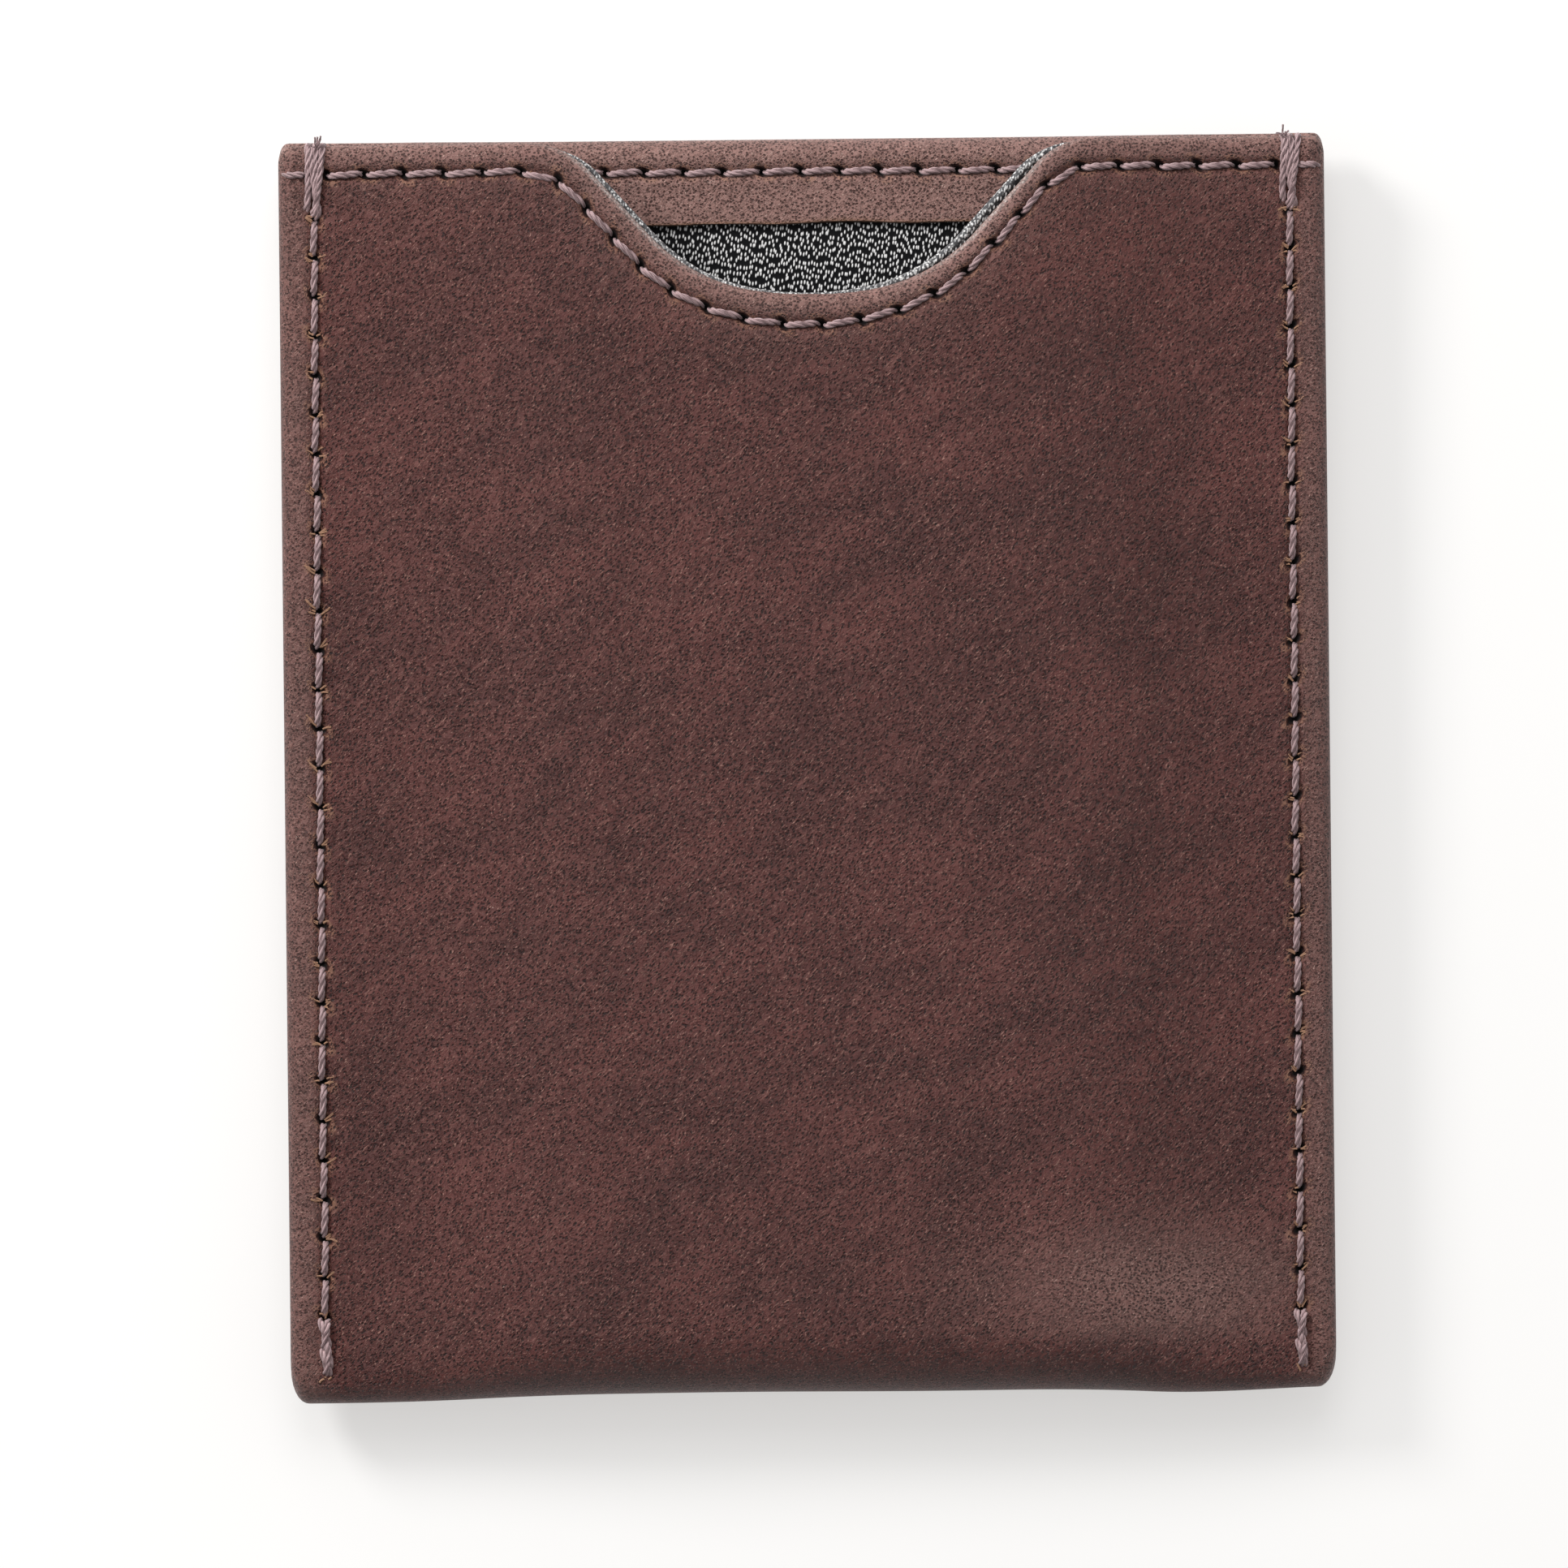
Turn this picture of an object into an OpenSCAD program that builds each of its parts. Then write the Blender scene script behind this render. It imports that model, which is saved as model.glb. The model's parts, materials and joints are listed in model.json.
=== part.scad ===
// Slim leather sleeve wallet, lying on its back with the notched front wall upwards.
// X runs across it, Y from the bottom fold to the mouth, and Z up through its thickness.
// The origin is on the surface it lies on, under the middle of its box.

/* [Wallet] */
// Width over the two sewn side edges
wallet_w = 80; // [76:1:90]
// Length from the bottom corners to the mouth
wallet_l = 96.5; // [90:0.5:108]
// Thickness of the empty pocket over its flat middle
wallet_t = 9.5; // [9.3:0.1:11]
// Thickness of the sewn side edges, four layers of leather
seam_t = 4.4; // [4.2:0.1:4.8]
// Width of a sewn side edge, from the outside to the pocket
seam_w = 3.6; // [3.4:0.1:4]
// Width of the flat middle of the front and back walls
flat_w = 30; // [28:1:34]
// Length by which the flat bottom corners stand past the rounded fold
corner_l = 0.5; // [0.1:0.1:1]
// Radius of the bottom corners
low_corner_r = 1.5; // [1:0.1:2]
// Radius of the corners beside the mouth
high_corner_r = 0.8; // [0.5:0.1:1.2]

/* [Layers] */
// Thickness of the outer leather
leather_t = 1.1; // [1:0.1:1.2]
// Thickness of the stiffener glued behind the leather
interlining_t = 0.4; // [0.3:0.1:0.5]
// Thickness of the textured lining
lining_t = 0.4; // [0.4:0.1:0.5]
// Width of the leather that rolls over the mouth edge
roll_w = 0.95; // [0.8:0.05:1.2]
// Depth of the back wall's hem, turned to the inside
hem_l = 6.5; // [5.5:0.5:8]
// Thickness of the skived leather in that hem
hem_t = 0.7; // [0.5:0.1:0.8]
// Width of that hem, which is skived away before the side seams
hem_w = 58; // [56:1:58]

/* [Thumb notch] */
// Depth of the notch in the front wall
notch_depth = 11.9; // [10:0.1:13]
// Distance of the notch from the middle, towards the right
notch_x = 0.5; // [-0.5:0.1:0.5]
// Radius of the flat bottom of the notch
notch_low_r = 22; // [20:0.5:24]
// Radius of the lower corners of the notch
notch_corner_r = 13.5; // [12:0.5:14]
// Radius of the shoulders where the notch meets the mouth
shoulder_r = 7; // [6:0.5:7.5]
// Turn of the notch's outline where its lower corners begin
low_turn = 12; // [10:1:14]
// Slope of the notch's straight flanks
flank_turn = 47.5; // [45:0.5:50]

/* [Stitching] */
// Diameter of the sewing thread
thread_d = 0.6; // [0.5:0.05:0.6]
// Length from one needle hole to the next
pitch = 3; // [2.8:0.1:3]
// Gap between the ends of two stitches in a row
stitch_gap = 0.5; // [0.4:0.1:0.8]
// Distance of the mouth stitching from the lip
lip_inset = 2.5; // [2.2:0.1:2.8]
// Distance of the side seams from the outside
seam_inset = 2.7; // [2.5:0.1:2.8]
// Stitches between the two bar tacks of a side seam
seam_count = 28; // [26:1:28]
// Distance by which the side seams lie towards the mouth
seam_shift = 0.4; // [0.2:0.1:0.4]
// Stitches of the mouth row, from one side seam to the other
mouth_count = 27; // [23:2:27]
// Stitches on each side of the middle of the hem row
hem_half_count = 9; // [8:1:9]
// Distance between the strands of a bar tack
tack_step = 0.62; // [0.6:0.02:0.66]
// Length of the channels of the bar tacks, two stitches
tack_l = 5.9; // [5:0.1:6]
// Length of the strands of the bottom bar tacks
low_tack_l = 4.9; // [4:0.1:4.9]
// Depth of the channel that each row of stitches lies in
channel_depth = 0.45; // [0.4:0.05:0.5]
// Clearance of the thread in a straight channel
thread_play = 0.1; // [0.1:0.02:0.14]
// Clearance of the thread along the lip, where stitches cut the corners of the notch
lip_play = 0.5; // [0.5:0.1:0.8]
// Lining left under the channel along the lip
lining_skin = 0.05; // [0.05:0.01:0.1]
// How far the thread on that lining stands out of its channel
bobbin_drop = 0.08; // [0.08:0.01:0.12]

/* [Opening wall] */
// Gap between the front wall and the fold it bends from
hinge_gap = 0.7; // [0.7:0.1:1]
// Gap between the front wall and the sewn side edges
side_gap = 0.4; // [0.3:0.1:0.5]

/* [Hidden] */

leather_colour = [0.36, 0.25, 0.23];
board_colour = [0.62, 0.55, 0.46];
lining_colour = [0.10, 0.10, 0.11];
thread_colour = [0.60, 0.50, 0.50];

half_w = wallet_w / 2;
half_l = wallet_l / 2;
half_t = wallet_t / 2;
half_seam = seam_t / 2;
wall_t = leather_t + interlining_t + lining_t;
board_t = leather_t + interlining_t;
thread_r = thread_d / 2;
channel_w = thread_d + thread_play;
lip_channel_w = thread_d + lip_play;

// The walls slope from the flat middle to the sewn edges in two equal arcs.
flat_half = flat_w / 2;
slope_end = half_w - seam_w;
slope_mid = (flat_half + slope_end) / 2;
slope_drop = half_t - half_seam;
slope_r = (pow(slope_end - flat_half, 2) + pow(slope_drop, 2)) / (4 * slope_drop);
edge_r = half_seam / 2;

// The bottom is one round fold about this line, which is also the opening wall's hinge.
fold_y = -half_l + corner_l + half_t;

// The notch is drawn from its middle outwards: low arc, corner arc, flank and shoulder.
lip_low = half_l - notch_depth;
low_centre = [0, lip_low + notch_low_r];
corner_centre = low_centre + (notch_low_r - notch_corner_r) * [sin(low_turn), -cos(low_turn)];
flank_low = corner_centre + notch_corner_r * [sin(flank_turn), -cos(flank_turn)];
flank_high_y = half_l - shoulder_r * (1 - cos(flank_turn));
flank_l = (flank_high_y - flank_low.y) / sin(flank_turn);
shoulder_x = flank_low.x + flank_l * cos(flank_turn) + shoulder_r * sin(flank_turn);
shoulder_centre = [shoulder_x, half_l - shoulder_r];
arc_steps = 8;
slope_steps = 8;
fold_steps = 16;

seam_x = half_w - seam_inset;
seam_low_y = seam_shift - seam_count * pitch / 2;
seam_high_y = seam_low_y + seam_count * pitch;
lip_row_y = half_l - lip_inset;
mouth_start = -notch_x - mouth_count * pitch / 2;
tack_half = tack_step + channel_w / 2;
loop_l = seam_inset - tack_half;
front_half = slope_end - side_gap;
front_low_y = fold_y + hinge_gap / 2;

// How far a cutting shape runs past what it cuts
past = 5;

// Half the outside thickness at a distance x from the middle
function half_height(x) =
    let (u = abs(x))
    u < flat_half ? half_t
    : u < slope_mid ? half_t - slope_r + sqrt(pow(slope_r, 2) - pow(u - flat_half, 2))
    : u < slope_end ? half_seam + slope_r - sqrt(pow(slope_r, 2) - pow(slope_end - u, 2))
    : half_seam;

function arc(centre, r, from, to) =
    [for (i = [0:arc_steps]) centre + r * [cos(from + (to - from) * i / arc_steps),
                                           sin(from + (to - from) * i / arc_steps)]];

// Right half of the lip's outline, moved down into the leather by inset
function lip_half(inset) = concat(
    arc(low_centre, notch_low_r + inset, -90, -90 + low_turn),
    arc(corner_centre, notch_corner_r + inset, -90 + low_turn, -90 + flank_turn),
    arc(shoulder_centre, shoulder_r - inset, 90 + flank_turn, 90),
    [[half_w + past, half_l - inset]]
);

function degrees(length, r) = length / r * 180 / PI;

// Point on the right half of the same outline, at a length along it from the middle
function lip_half_point(length, inset) =
    let (r1 = notch_low_r + inset, r2 = notch_corner_r + inset, r3 = shoulder_r - inset,
         l1 = r1 * low_turn * PI / 180,
         l2 = l1 + r2 * (flank_turn - low_turn) * PI / 180,
         l3 = l2 + flank_l,
         l4 = l3 + r3 * flank_turn * PI / 180,
         a1 = degrees(length, r1),
         a2 = low_turn + degrees(length - l1, r2),
         a3 = flank_turn - degrees(length - l3, r3))
    length < l1 ? low_centre + r1 * [sin(a1), -cos(a1)]
    : length < l2 ? corner_centre + r2 * [sin(a2), -cos(a2)]
    : length < l3 ? corner_centre + r2 * [sin(flank_turn), -cos(flank_turn)]
                    + (length - l2) * [cos(flank_turn), sin(flank_turn)]
    : length < l4 ? shoulder_centre + r3 * [-sin(a3), cos(a3)]
    : [shoulder_x + length - l4, half_l - inset];

function lip_point(length, inset) =
    let (p = lip_half_point(abs(length), inset))
    [notch_x + (length < 0 ? -p.x : p.x), p.y];

// Everything above the lip's outline
module above_lip(inset) {
    right = lip_half(inset);
    last = len(right) - 1;
    left = [for (i = [last:-1:1]) [-right[i].x, right[i].y]];
    translate([notch_x, 0, half_t])
        linear_extrude(half_t + past)
            polygon(concat(left, right, [[half_w + past, half_l + past], [-half_w - past, half_l + past]]));
}

// Places across the wallet at which a wall of this half width bends
function bends(half_width) =
    let (xs = [for (i = [0:slope_steps]) flat_half + (slope_end - flat_half) * i / slope_steps],
         right = concat([for (x = xs) if (x < half_width) x], [half_width]))
    concat([for (i = [len(right) - 1:-1:0]) -right[i]], right);

// Wall between two depths below the outside, on the front (face 1) or the back (face -1)
module wall(face, from, to, half_width, low_y, high_y) {
    xs = bends(half_width);
    outer = [for (x = xs) [x, face * (half_height(x) - from)]];
    inner = [for (i = [len(xs) - 1:-1:0]) [xs[i], face * (half_height(xs[i]) - to)]];
    translate([0, high_y, half_t])
        rotate([90, 0, 0])
            linear_extrude(high_y - low_y)
                polygon(concat(outer, inner));
}

// Solid inside the bottom fold, inset from the outer surface
module fold_core(inset, half_width) {
    r = half_t - inset;
    xs = bends(half_width);
    top = [for (x = xs) [x, half_height(x) - inset + (abs(x) <= flat_half ? past : 0)]];
    bottom = [for (i = [len(top) - 1:-1:0]) [top[i].x, -top[i].y]];
    intersection() {
        translate([0, fold_y, half_t])
            rotate([90, 0, 0])
                linear_extrude(half_t + past)
                    polygon(concat(top, bottom));
        translate([-half_w, fold_y, half_t])
            rotate([90, 0, 90])
                linear_extrude(wallet_w)
                    polygon([for (i = [0:fold_steps])
                        r * [-sin(180 * i / fold_steps), cos(180 * i / fold_steps)]]);
    }
}

module fold(from, to) {
    difference() {
        fold_core(from, slope_end);
        fold_core(to, slope_end + past);
    }
}

// The four stacked layers of one sewn side edge, as two turned edges back to back
module sewn_edge(side) {
    centre_x = half_w - edge_r;
    profile = concat([[slope_end, -half_seam]], arc([centre_x, -edge_r], edge_r, -90, 90),
                     arc([centre_x, edge_r], edge_r, -90, 90), [[slope_end, half_seam]]);
    plan = concat([[slope_end - past, -half_l]],
                  arc([half_w - low_corner_r, -half_l + low_corner_r], low_corner_r, -90, 0),
                  arc([half_w - high_corner_r, half_l - high_corner_r], high_corner_r, 0, 90),
                  [[slope_end - past, half_l]]);
    mirror([side < 0 ? 1 : 0, 0, 0])
        intersection() {
            translate([0, half_l + past, half_t])
                rotate([90, 0, 0])
                    linear_extrude(wallet_l + 2 * past)
                        polygon(profile);
            linear_extrude(wallet_t) polygon(plan);
        }
}

// Channels of a side seam on both faces, wide under the bar tacks and round the mouth end
module seam_channels(side) {
    for (face = [-1, 1]) {
        z = half_t + face * half_seam - channel_depth;
        translate([side * seam_x - channel_w / 2, seam_low_y - past, z])
            cube([channel_w, seam_high_y - seam_low_y + 2 * past, 2 * channel_depth]);
        for (y = [seam_low_y - tack_l, seam_high_y])
            translate([side * seam_x - tack_half, y, z])
                cube([2 * tack_half, tack_l + past, 2 * channel_depth]);
        translate([side * half_w - loop_l, lip_row_y - channel_w / 2, z])
            cube([2 * loop_l, channel_w, 2 * channel_depth]);
    }
    translate([side * seam_x - tack_half, half_l - channel_w, 0]) cube([2 * tack_half, past, wallet_t]);
    translate([side * (half_w + past / 2 - channel_w) - past / 2, lip_row_y - channel_w / 2, 0])
        cube([past, channel_w, wallet_t]);
}

// One stitch from a needle hole to the next, tapered where it dives into the leather
module stitch(p, q) {
    v = q - p;
    l = norm(v) - stitch_gap;
    tip = thread_d;
    translate(p + v / norm(v) * stitch_gap / 2)
        rotate([0, acos(v.z / norm(v)), atan2(v.y, v.x)])
            rotate_extrude($fn = 24)
                polygon([[0, 0], [thread_r / 2, 0], [thread_r, tip],
                         [thread_r, l - tip], [thread_r / 2, l], [0, l]]);
}

// Outer leather, lower half of the strip: back wall, bottom fold, sewn edges and turned hem
module back_panel() {
    color(leather_colour)
        difference() {
            union() {
                wall(-1, 0, leather_t, slope_end, fold_y, half_l);
                wall(-1, leather_t, wall_t, slope_end, half_l - roll_w, half_l);
                wall(-1, wall_t, wall_t + hem_t, hem_w / 2, half_l - hem_l, half_l);
                fold(0, leather_t);
                for (side = [-1, 1]) sewn_edge(side);
            }
            fold_opening();
            for (side = [-1, 1]) seam_channels(side);
            hem_channels();
        }
}

// Gap that parts the fold's upper layer from the wall that opens
module fold_opening() {
    translate([-slope_end, fold_y - hinge_gap / 2, half_t]) cube([2 * slope_end, past, half_t + past]);
}

// Outside: a channel deep enough for the whole thread. Inside: one cut into the hem.
module hem_channels() {
    row_half = hem_half_count * pitch + channel_w / 2;
    low_y = lip_row_y - channel_w / 2;
    wall(-1, -past, channel_w, row_half, low_y, low_y + channel_w);
    wall(-1, wall_t + hem_t - channel_depth, wall_t + hem_t + past, row_half, low_y, low_y + channel_w);
}

module back_interlining() {
    color(board_colour) back_sheet(leather_t, board_t);
}

module back_lining() {
    color(lining_colour) back_sheet(board_t, wall_t);
}

// One inner layer of the back wall and fold, up to the rolled mouth edge
module back_sheet(from, to) {
    difference() {
        union() {
            wall(-1, from, to, slope_end, fold_y, half_l - roll_w);
            fold(from, to);
        }
        fold_opening();
    }
}

// Outer leather, upper half of the strip: the notched wall that lifts to open the mouth
module front_panel() {
    color(leather_colour)
        difference() {
            wall(1, 0, wall_t, front_half, front_low_y, half_l + past);
            difference() {
                wall(1, leather_t, wall_t + past, front_half + past, front_low_y - past, half_l + 2 * past);
                above_lip(roll_w);
            }
            above_lip(0);
            lip_channel(-past, channel_depth);
        }
}

// Channel along the mouth stitching, between two depths
module lip_channel(from, to) {
    intersection() {
        difference() {
            above_lip(lip_inset + lip_channel_w / 2);
            above_lip(lip_inset - lip_channel_w / 2);
        }
        wall(1, from, to, front_half + past, lip_low - past, half_l);
    }
}

module front_interlining() {
    color(board_colour) front_sheet(leather_t, board_t);
}

module front_lining() {
    color(lining_colour)
        difference() {
            front_sheet(board_t, wall_t);
            lip_channel(board_t + lining_skin, wall_t + past);
        }
}

// One inner layer of the front wall, up to the rolled edge of the lip
module front_sheet(from, to) {
    difference() {
        wall(1, from, to, front_half, front_low_y, half_l);
        above_lip(roll_w);
    }
}

// Row along the lip on the outside (depth 0) or on the lining (depth of the wall)
module mouth_thread(depth) {
    for (i = [0:mouth_count - 1]) {
        p = lip_point(mouth_start + i * pitch, lip_inset);
        q = lip_point(mouth_start + (i + 1) * pitch, lip_inset);
        stitch([p.x, p.y, half_t + half_height(p.x) - depth],
               [q.x, q.y, half_t + half_height(q.x) - depth]);
    }
}

module mouth_needle_thread() {
    color(thread_colour) mouth_thread(0);
}

module mouth_bobbin_thread() {
    color(thread_colour) mouth_thread(wall_t + bobbin_drop);
}

// Row along the back wall's hem, at a depth below the outside
module hem_thread(depth) {
    for (i = [-hem_half_count:hem_half_count - 1]) {
        x1 = i * pitch;
        x2 = x1 + pitch;
        stitch([x1, lip_row_y, half_t - half_height(x1) + depth],
               [x2, lip_row_y, half_t - half_height(x2) + depth]);
    }
}

module hem_needle_thread() {
    color(thread_colour) hem_thread(wall_t + hem_t);
}

module hem_bobbin_thread() {
    color(thread_colour) hem_thread(thread_r);
}

// Row along a side seam, on the front (face 1) or the back (face -1)
module seam_thread(side, face) {
    z = half_t + face * half_seam;
    for (i = [0:seam_count - 1]) {
        y = seam_low_y + i * pitch;
        stitch([side * seam_x, y, z], [side * seam_x, y + pitch, z]);
    }
}

module left_seam_needle_thread() {
    color(thread_colour) seam_thread(-1, 1);
}

module left_seam_bobbin_thread() {
    color(thread_colour) seam_thread(-1, -1);
}

module right_seam_needle_thread() {
    color(thread_colour) seam_thread(1, 1);
}

module right_seam_bobbin_thread() {
    color(thread_colour) seam_thread(1, -1);
}

// Outline of a thread that wraps an edge: up one face, round the end and down the other
function wrap_outline(start, end) =
    let (out = half_seam + thread_r, in = half_seam - thread_r)
    [[start, out], [end - thread_r, out], [end, in], [end, -in], [end - thread_r, -out], [start, -out],
     [start, -in], [end - thread_d, -in], [end - thread_d, in], [start, in]];

// Three strands over the mouth end of a seam
module top_tack(side) {
    color(thread_colour)
        for (i = [-1:1])
            translate([side * seam_x + i * tack_step - thread_r, 0, half_t])
                rotate([90, 0, 90])
                    linear_extrude(thread_d)
                        polygon(wrap_outline(seam_high_y + stitch_gap, half_l));
}

// End of the mouth row, carried round the side edge
module edge_loop(side) {
    color(thread_colour)
        translate([0, lip_row_y + thread_r, half_t])
            rotate([90, 0, 0])
                linear_extrude(thread_d)
                    mirror([side < 0 ? 1 : 0, 0])
                        polygon(wrap_outline(half_w - loop_l, half_w));
}

// Three strands over the last two stitches of a seam, on both faces
module bottom_tack(side) {
    color(thread_colour)
        for (i = [-1:1], face = [-1, 1]) {
            x = side * seam_x + i * tack_step;
            z = half_t + face * half_seam;
            stitch([x, seam_low_y, z], [x, seam_low_y - low_tack_l, z]);
        }
}

module top_left_tack() {
    top_tack(-1);
}

module top_right_tack() {
    top_tack(1);
}

module bottom_left_tack() {
    bottom_tack(-1);
}

module bottom_right_tack() {
    bottom_tack(1);
}

module left_edge_loop() {
    edge_loop(-1);
}

module right_edge_loop() {
    edge_loop(1);
}

back_panel();
back_interlining();
back_lining();
front_panel();
front_interlining();
front_lining();
mouth_needle_thread();
mouth_bobbin_thread();
hem_needle_thread();
hem_bobbin_thread();
left_seam_needle_thread();
left_seam_bobbin_thread();
right_seam_needle_thread();
right_seam_bobbin_thread();
top_left_tack();
top_right_tack();
bottom_left_tack();
bottom_right_tack();
left_edge_loop();
right_edge_loop();
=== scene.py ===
# A slim sleeve wallet. One strip of brown leather is folded at the bottom, lined in black and
# sewn along both sides, and its front wall has a notch for the thumb that pushes a card out.
import json
import math

import bmesh
import bpy
import numpy as np
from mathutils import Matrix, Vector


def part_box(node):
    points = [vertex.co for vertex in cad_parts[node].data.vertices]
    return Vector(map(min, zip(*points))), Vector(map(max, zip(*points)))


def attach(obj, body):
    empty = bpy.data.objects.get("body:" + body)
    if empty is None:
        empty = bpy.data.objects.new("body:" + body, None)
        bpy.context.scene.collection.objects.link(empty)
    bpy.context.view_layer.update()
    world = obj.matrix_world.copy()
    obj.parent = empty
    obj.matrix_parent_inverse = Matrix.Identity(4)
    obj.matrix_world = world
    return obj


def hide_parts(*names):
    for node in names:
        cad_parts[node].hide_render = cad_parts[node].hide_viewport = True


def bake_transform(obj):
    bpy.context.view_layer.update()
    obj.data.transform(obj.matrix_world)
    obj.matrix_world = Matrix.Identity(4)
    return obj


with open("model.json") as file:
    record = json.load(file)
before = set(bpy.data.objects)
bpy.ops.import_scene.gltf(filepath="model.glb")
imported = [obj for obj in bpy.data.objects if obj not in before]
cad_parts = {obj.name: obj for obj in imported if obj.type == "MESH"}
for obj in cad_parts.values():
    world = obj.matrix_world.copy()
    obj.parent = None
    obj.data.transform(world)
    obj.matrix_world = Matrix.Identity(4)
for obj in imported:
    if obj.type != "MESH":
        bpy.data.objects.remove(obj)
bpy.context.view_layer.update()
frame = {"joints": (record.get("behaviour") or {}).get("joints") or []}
MM = 0.001


# ---- Table, light and camera -------------------------------------------------------------
# The wallet lies on its back on a white light table, under a soft lamp at its upper left and
# a white room, and is looked at from straight above.
FRAME_WIDTH = 120.4 * MM
EYE_HEIGHT = 1.6
WALLET_TURN = math.radians(0.6)
WALLET_SHIFT = (1.8 * MM, 1.2 * MM)


def new_material(name):
    """New material with its node tree and its shader."""
    material = bpy.data.materials.new(name)
    material.use_nodes = True
    return material, material.node_tree, material.node_tree.nodes["Principled BSDF"]


def table_material():
    material, tree, shader = new_material("white_table")
    shader.inputs["Base Color"].default_value = (0.44, 0.44, 0.44, 1)
    shader.inputs["Roughness"].default_value = 0.9
    shader.inputs["Specular IOR Level"].default_value = 0.1
    shader.inputs["Emission Color"].default_value = (1.0, 0.985, 0.965, 1)
    shader.inputs["Emission Strength"].default_value = 0.54
    return material


bpy.ops.mesh.primitive_plane_add(size=6, location=(0, 0, -0.02 * MM))
table = bpy.context.object
table.name = "table_top"
table.data.materials.append(table_material())


def area_lamp(name, place, target, size, power, colour=(1, 1, 1)):
    light = bpy.data.lights.new(name, "AREA")
    light.shape = "DISK"
    light.size = size
    light.energy = power
    light.color = colour
    lamp = bpy.data.objects.new(name, light)
    bpy.context.scene.collection.objects.link(lamp)
    lamp.location = place
    toward = Vector(target) - Vector(place)
    lamp.rotation_euler = toward.to_track_quat("-Z", "Y").to_euler()
    return lamp


area_lamp("key_lamp", (-0.36, 0.315, 0.33), (0, 0, 0), 0.19, 2.3, (1.0, 0.985, 0.965))
fill = area_lamp("window_lamp", (0.0, 0.62, 0.86), (0, 0, 0), 0.55, 2.6)
fill.visible_glossy = False


def room_material(world):
    """White room, brightest on the mouth's side and dim on the side of the bottom fold."""
    world.use_nodes = True
    tree = world.node_tree
    place_node = tree.nodes.new("ShaderNodeTexCoord")
    tilt = tree.nodes.new("ShaderNodeVectorMath")
    tilt.operation = "DOT_PRODUCT"
    tilt.inputs[1].default_value = (-0.14, 0.60, 0.0)
    tree.links.new(place_node.outputs["Generated"], tilt.inputs[0])
    level = tree.nodes.new("ShaderNodeMath")
    level.inputs[1].default_value = 0.56
    tree.links.new(tilt.outputs["Value"], level.inputs[0])
    tree.links.new(level.outputs["Value"], tree.nodes["Background"].inputs["Strength"])
    tree.nodes["Background"].inputs["Color"].default_value = (1, 1, 1, 1)


world = bpy.data.worlds.new("white_room")
room_material(world)
bpy.context.scene.world = world
bpy.context.scene.view_settings.view_transform = "Standard"

camera_data = bpy.data.cameras.new("camera")
camera_data.sensor_width = 36
camera_data.lens = camera_data.sensor_width * EYE_HEIGHT / FRAME_WIDTH
camera = bpy.data.objects.new("camera", camera_data)
bpy.context.scene.collection.objects.link(camera)
camera.location = (-WALLET_SHIFT[0], -WALLET_SHIFT[1], EYE_HEIGHT)
camera.rotation_euler = (0, 0, -WALLET_TURN)
bpy.context.scene.camera = camera


# ---- Front leather -----------------------------------------------------------------------
# Upper half of the outer strip: 1.1 mm vegetable-tanned leather, its notched lip rolled over
# and its sides turned in under themselves. It turns round the bottom fold, and is made in a
# middle and two sides that meet where the wall is flat.
hinge = frame["joints"][0]["pos_m"]
fold_y, mid_z = hinge[1], hinge[2]
high_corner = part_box("back_panel")[1]
half_w, half_l, half_t = high_corner.x, high_corner.y, mid_z
seam_low, seam_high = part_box("right_seam_needle_thread")
pitch = 3.0 * MM
stitch_gap = 0.5 * MM
seam_x = (seam_low.x + seam_high.x) / 2
seam_start_y = seam_low.y - stitch_gap / 2
seam_count = round((seam_high.y - seam_low.y + stitch_gap) / pitch)
seam_end_y = seam_start_y + seam_count * pitch
half_seam = 2.2 * MM
flat_half = 15.0 * MM
split_x = 23.0 * MM
slope_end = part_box("back_lining")[1].x
leather_t = 1.1 * MM
edge_r = half_seam / 2
edge_x = half_w - edge_r
turn_in = edge_x - slope_end
corner_drop = 0.5 * MM
low_corner_r = 1.5 * MM
corner_lift = 0.55 * MM
lifted_from = 26 * MM
high_corner_r = 0.8 * MM
lip_inset = 2.5 * MM

# The notch's outline, by the length along it from its middle and the slope it has there.
notch_x = 0.5 * MM
low_r, corner_r, shoulder_r = 22 * MM, 13.5 * MM, 7 * MM
low_turn, flank_turn = math.radians(12), math.radians(47.5)
notch_depth = 11.9 * MM


def notch_bends():
    """Lengths at which the outline's curve changes, for flanks that reach the notch's depth."""
    curved = (low_r * (1 - math.cos(low_turn)) + corner_r * (math.cos(low_turn) - math.cos(flank_turn))
              + shoulder_r * (1 - math.cos(flank_turn)))
    flank = (notch_depth - curved) / math.sin(flank_turn)
    steps = [low_r * low_turn, corner_r * (flank_turn - low_turn), flank, shoulder_r * flank_turn]
    return np.concatenate([[0], np.cumsum(steps)])


lip_bends = notch_bends()
lip_end = lip_bends[-1] + 60 * MM
fine_s = np.linspace(0, lip_end, 20001)
fine_turn = np.interp(fine_s, lip_bends, [0, low_turn, flank_turn, flank_turn, 0])
fine_step = fine_s[1]
fine_x = np.concatenate([[0], np.cumsum(np.cos((fine_turn[1:] + fine_turn[:-1]) / 2))]) * fine_step
fine_y = np.concatenate([[0], np.cumsum(np.sin((fine_turn[1:] + fine_turn[:-1]) / 2))]) * fine_step


def notched_lip(s):
    """Where the front lip is at lengths s from the notch's middle, and its outline's slope."""
    length, side = np.abs(s), np.sign(s)
    turn = np.interp(length, fine_s, fine_turn)
    return (notch_x + side * np.interp(length, fine_s, fine_x),
            half_l - notch_depth + np.interp(length, fine_s, fine_y), side * turn)


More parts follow.
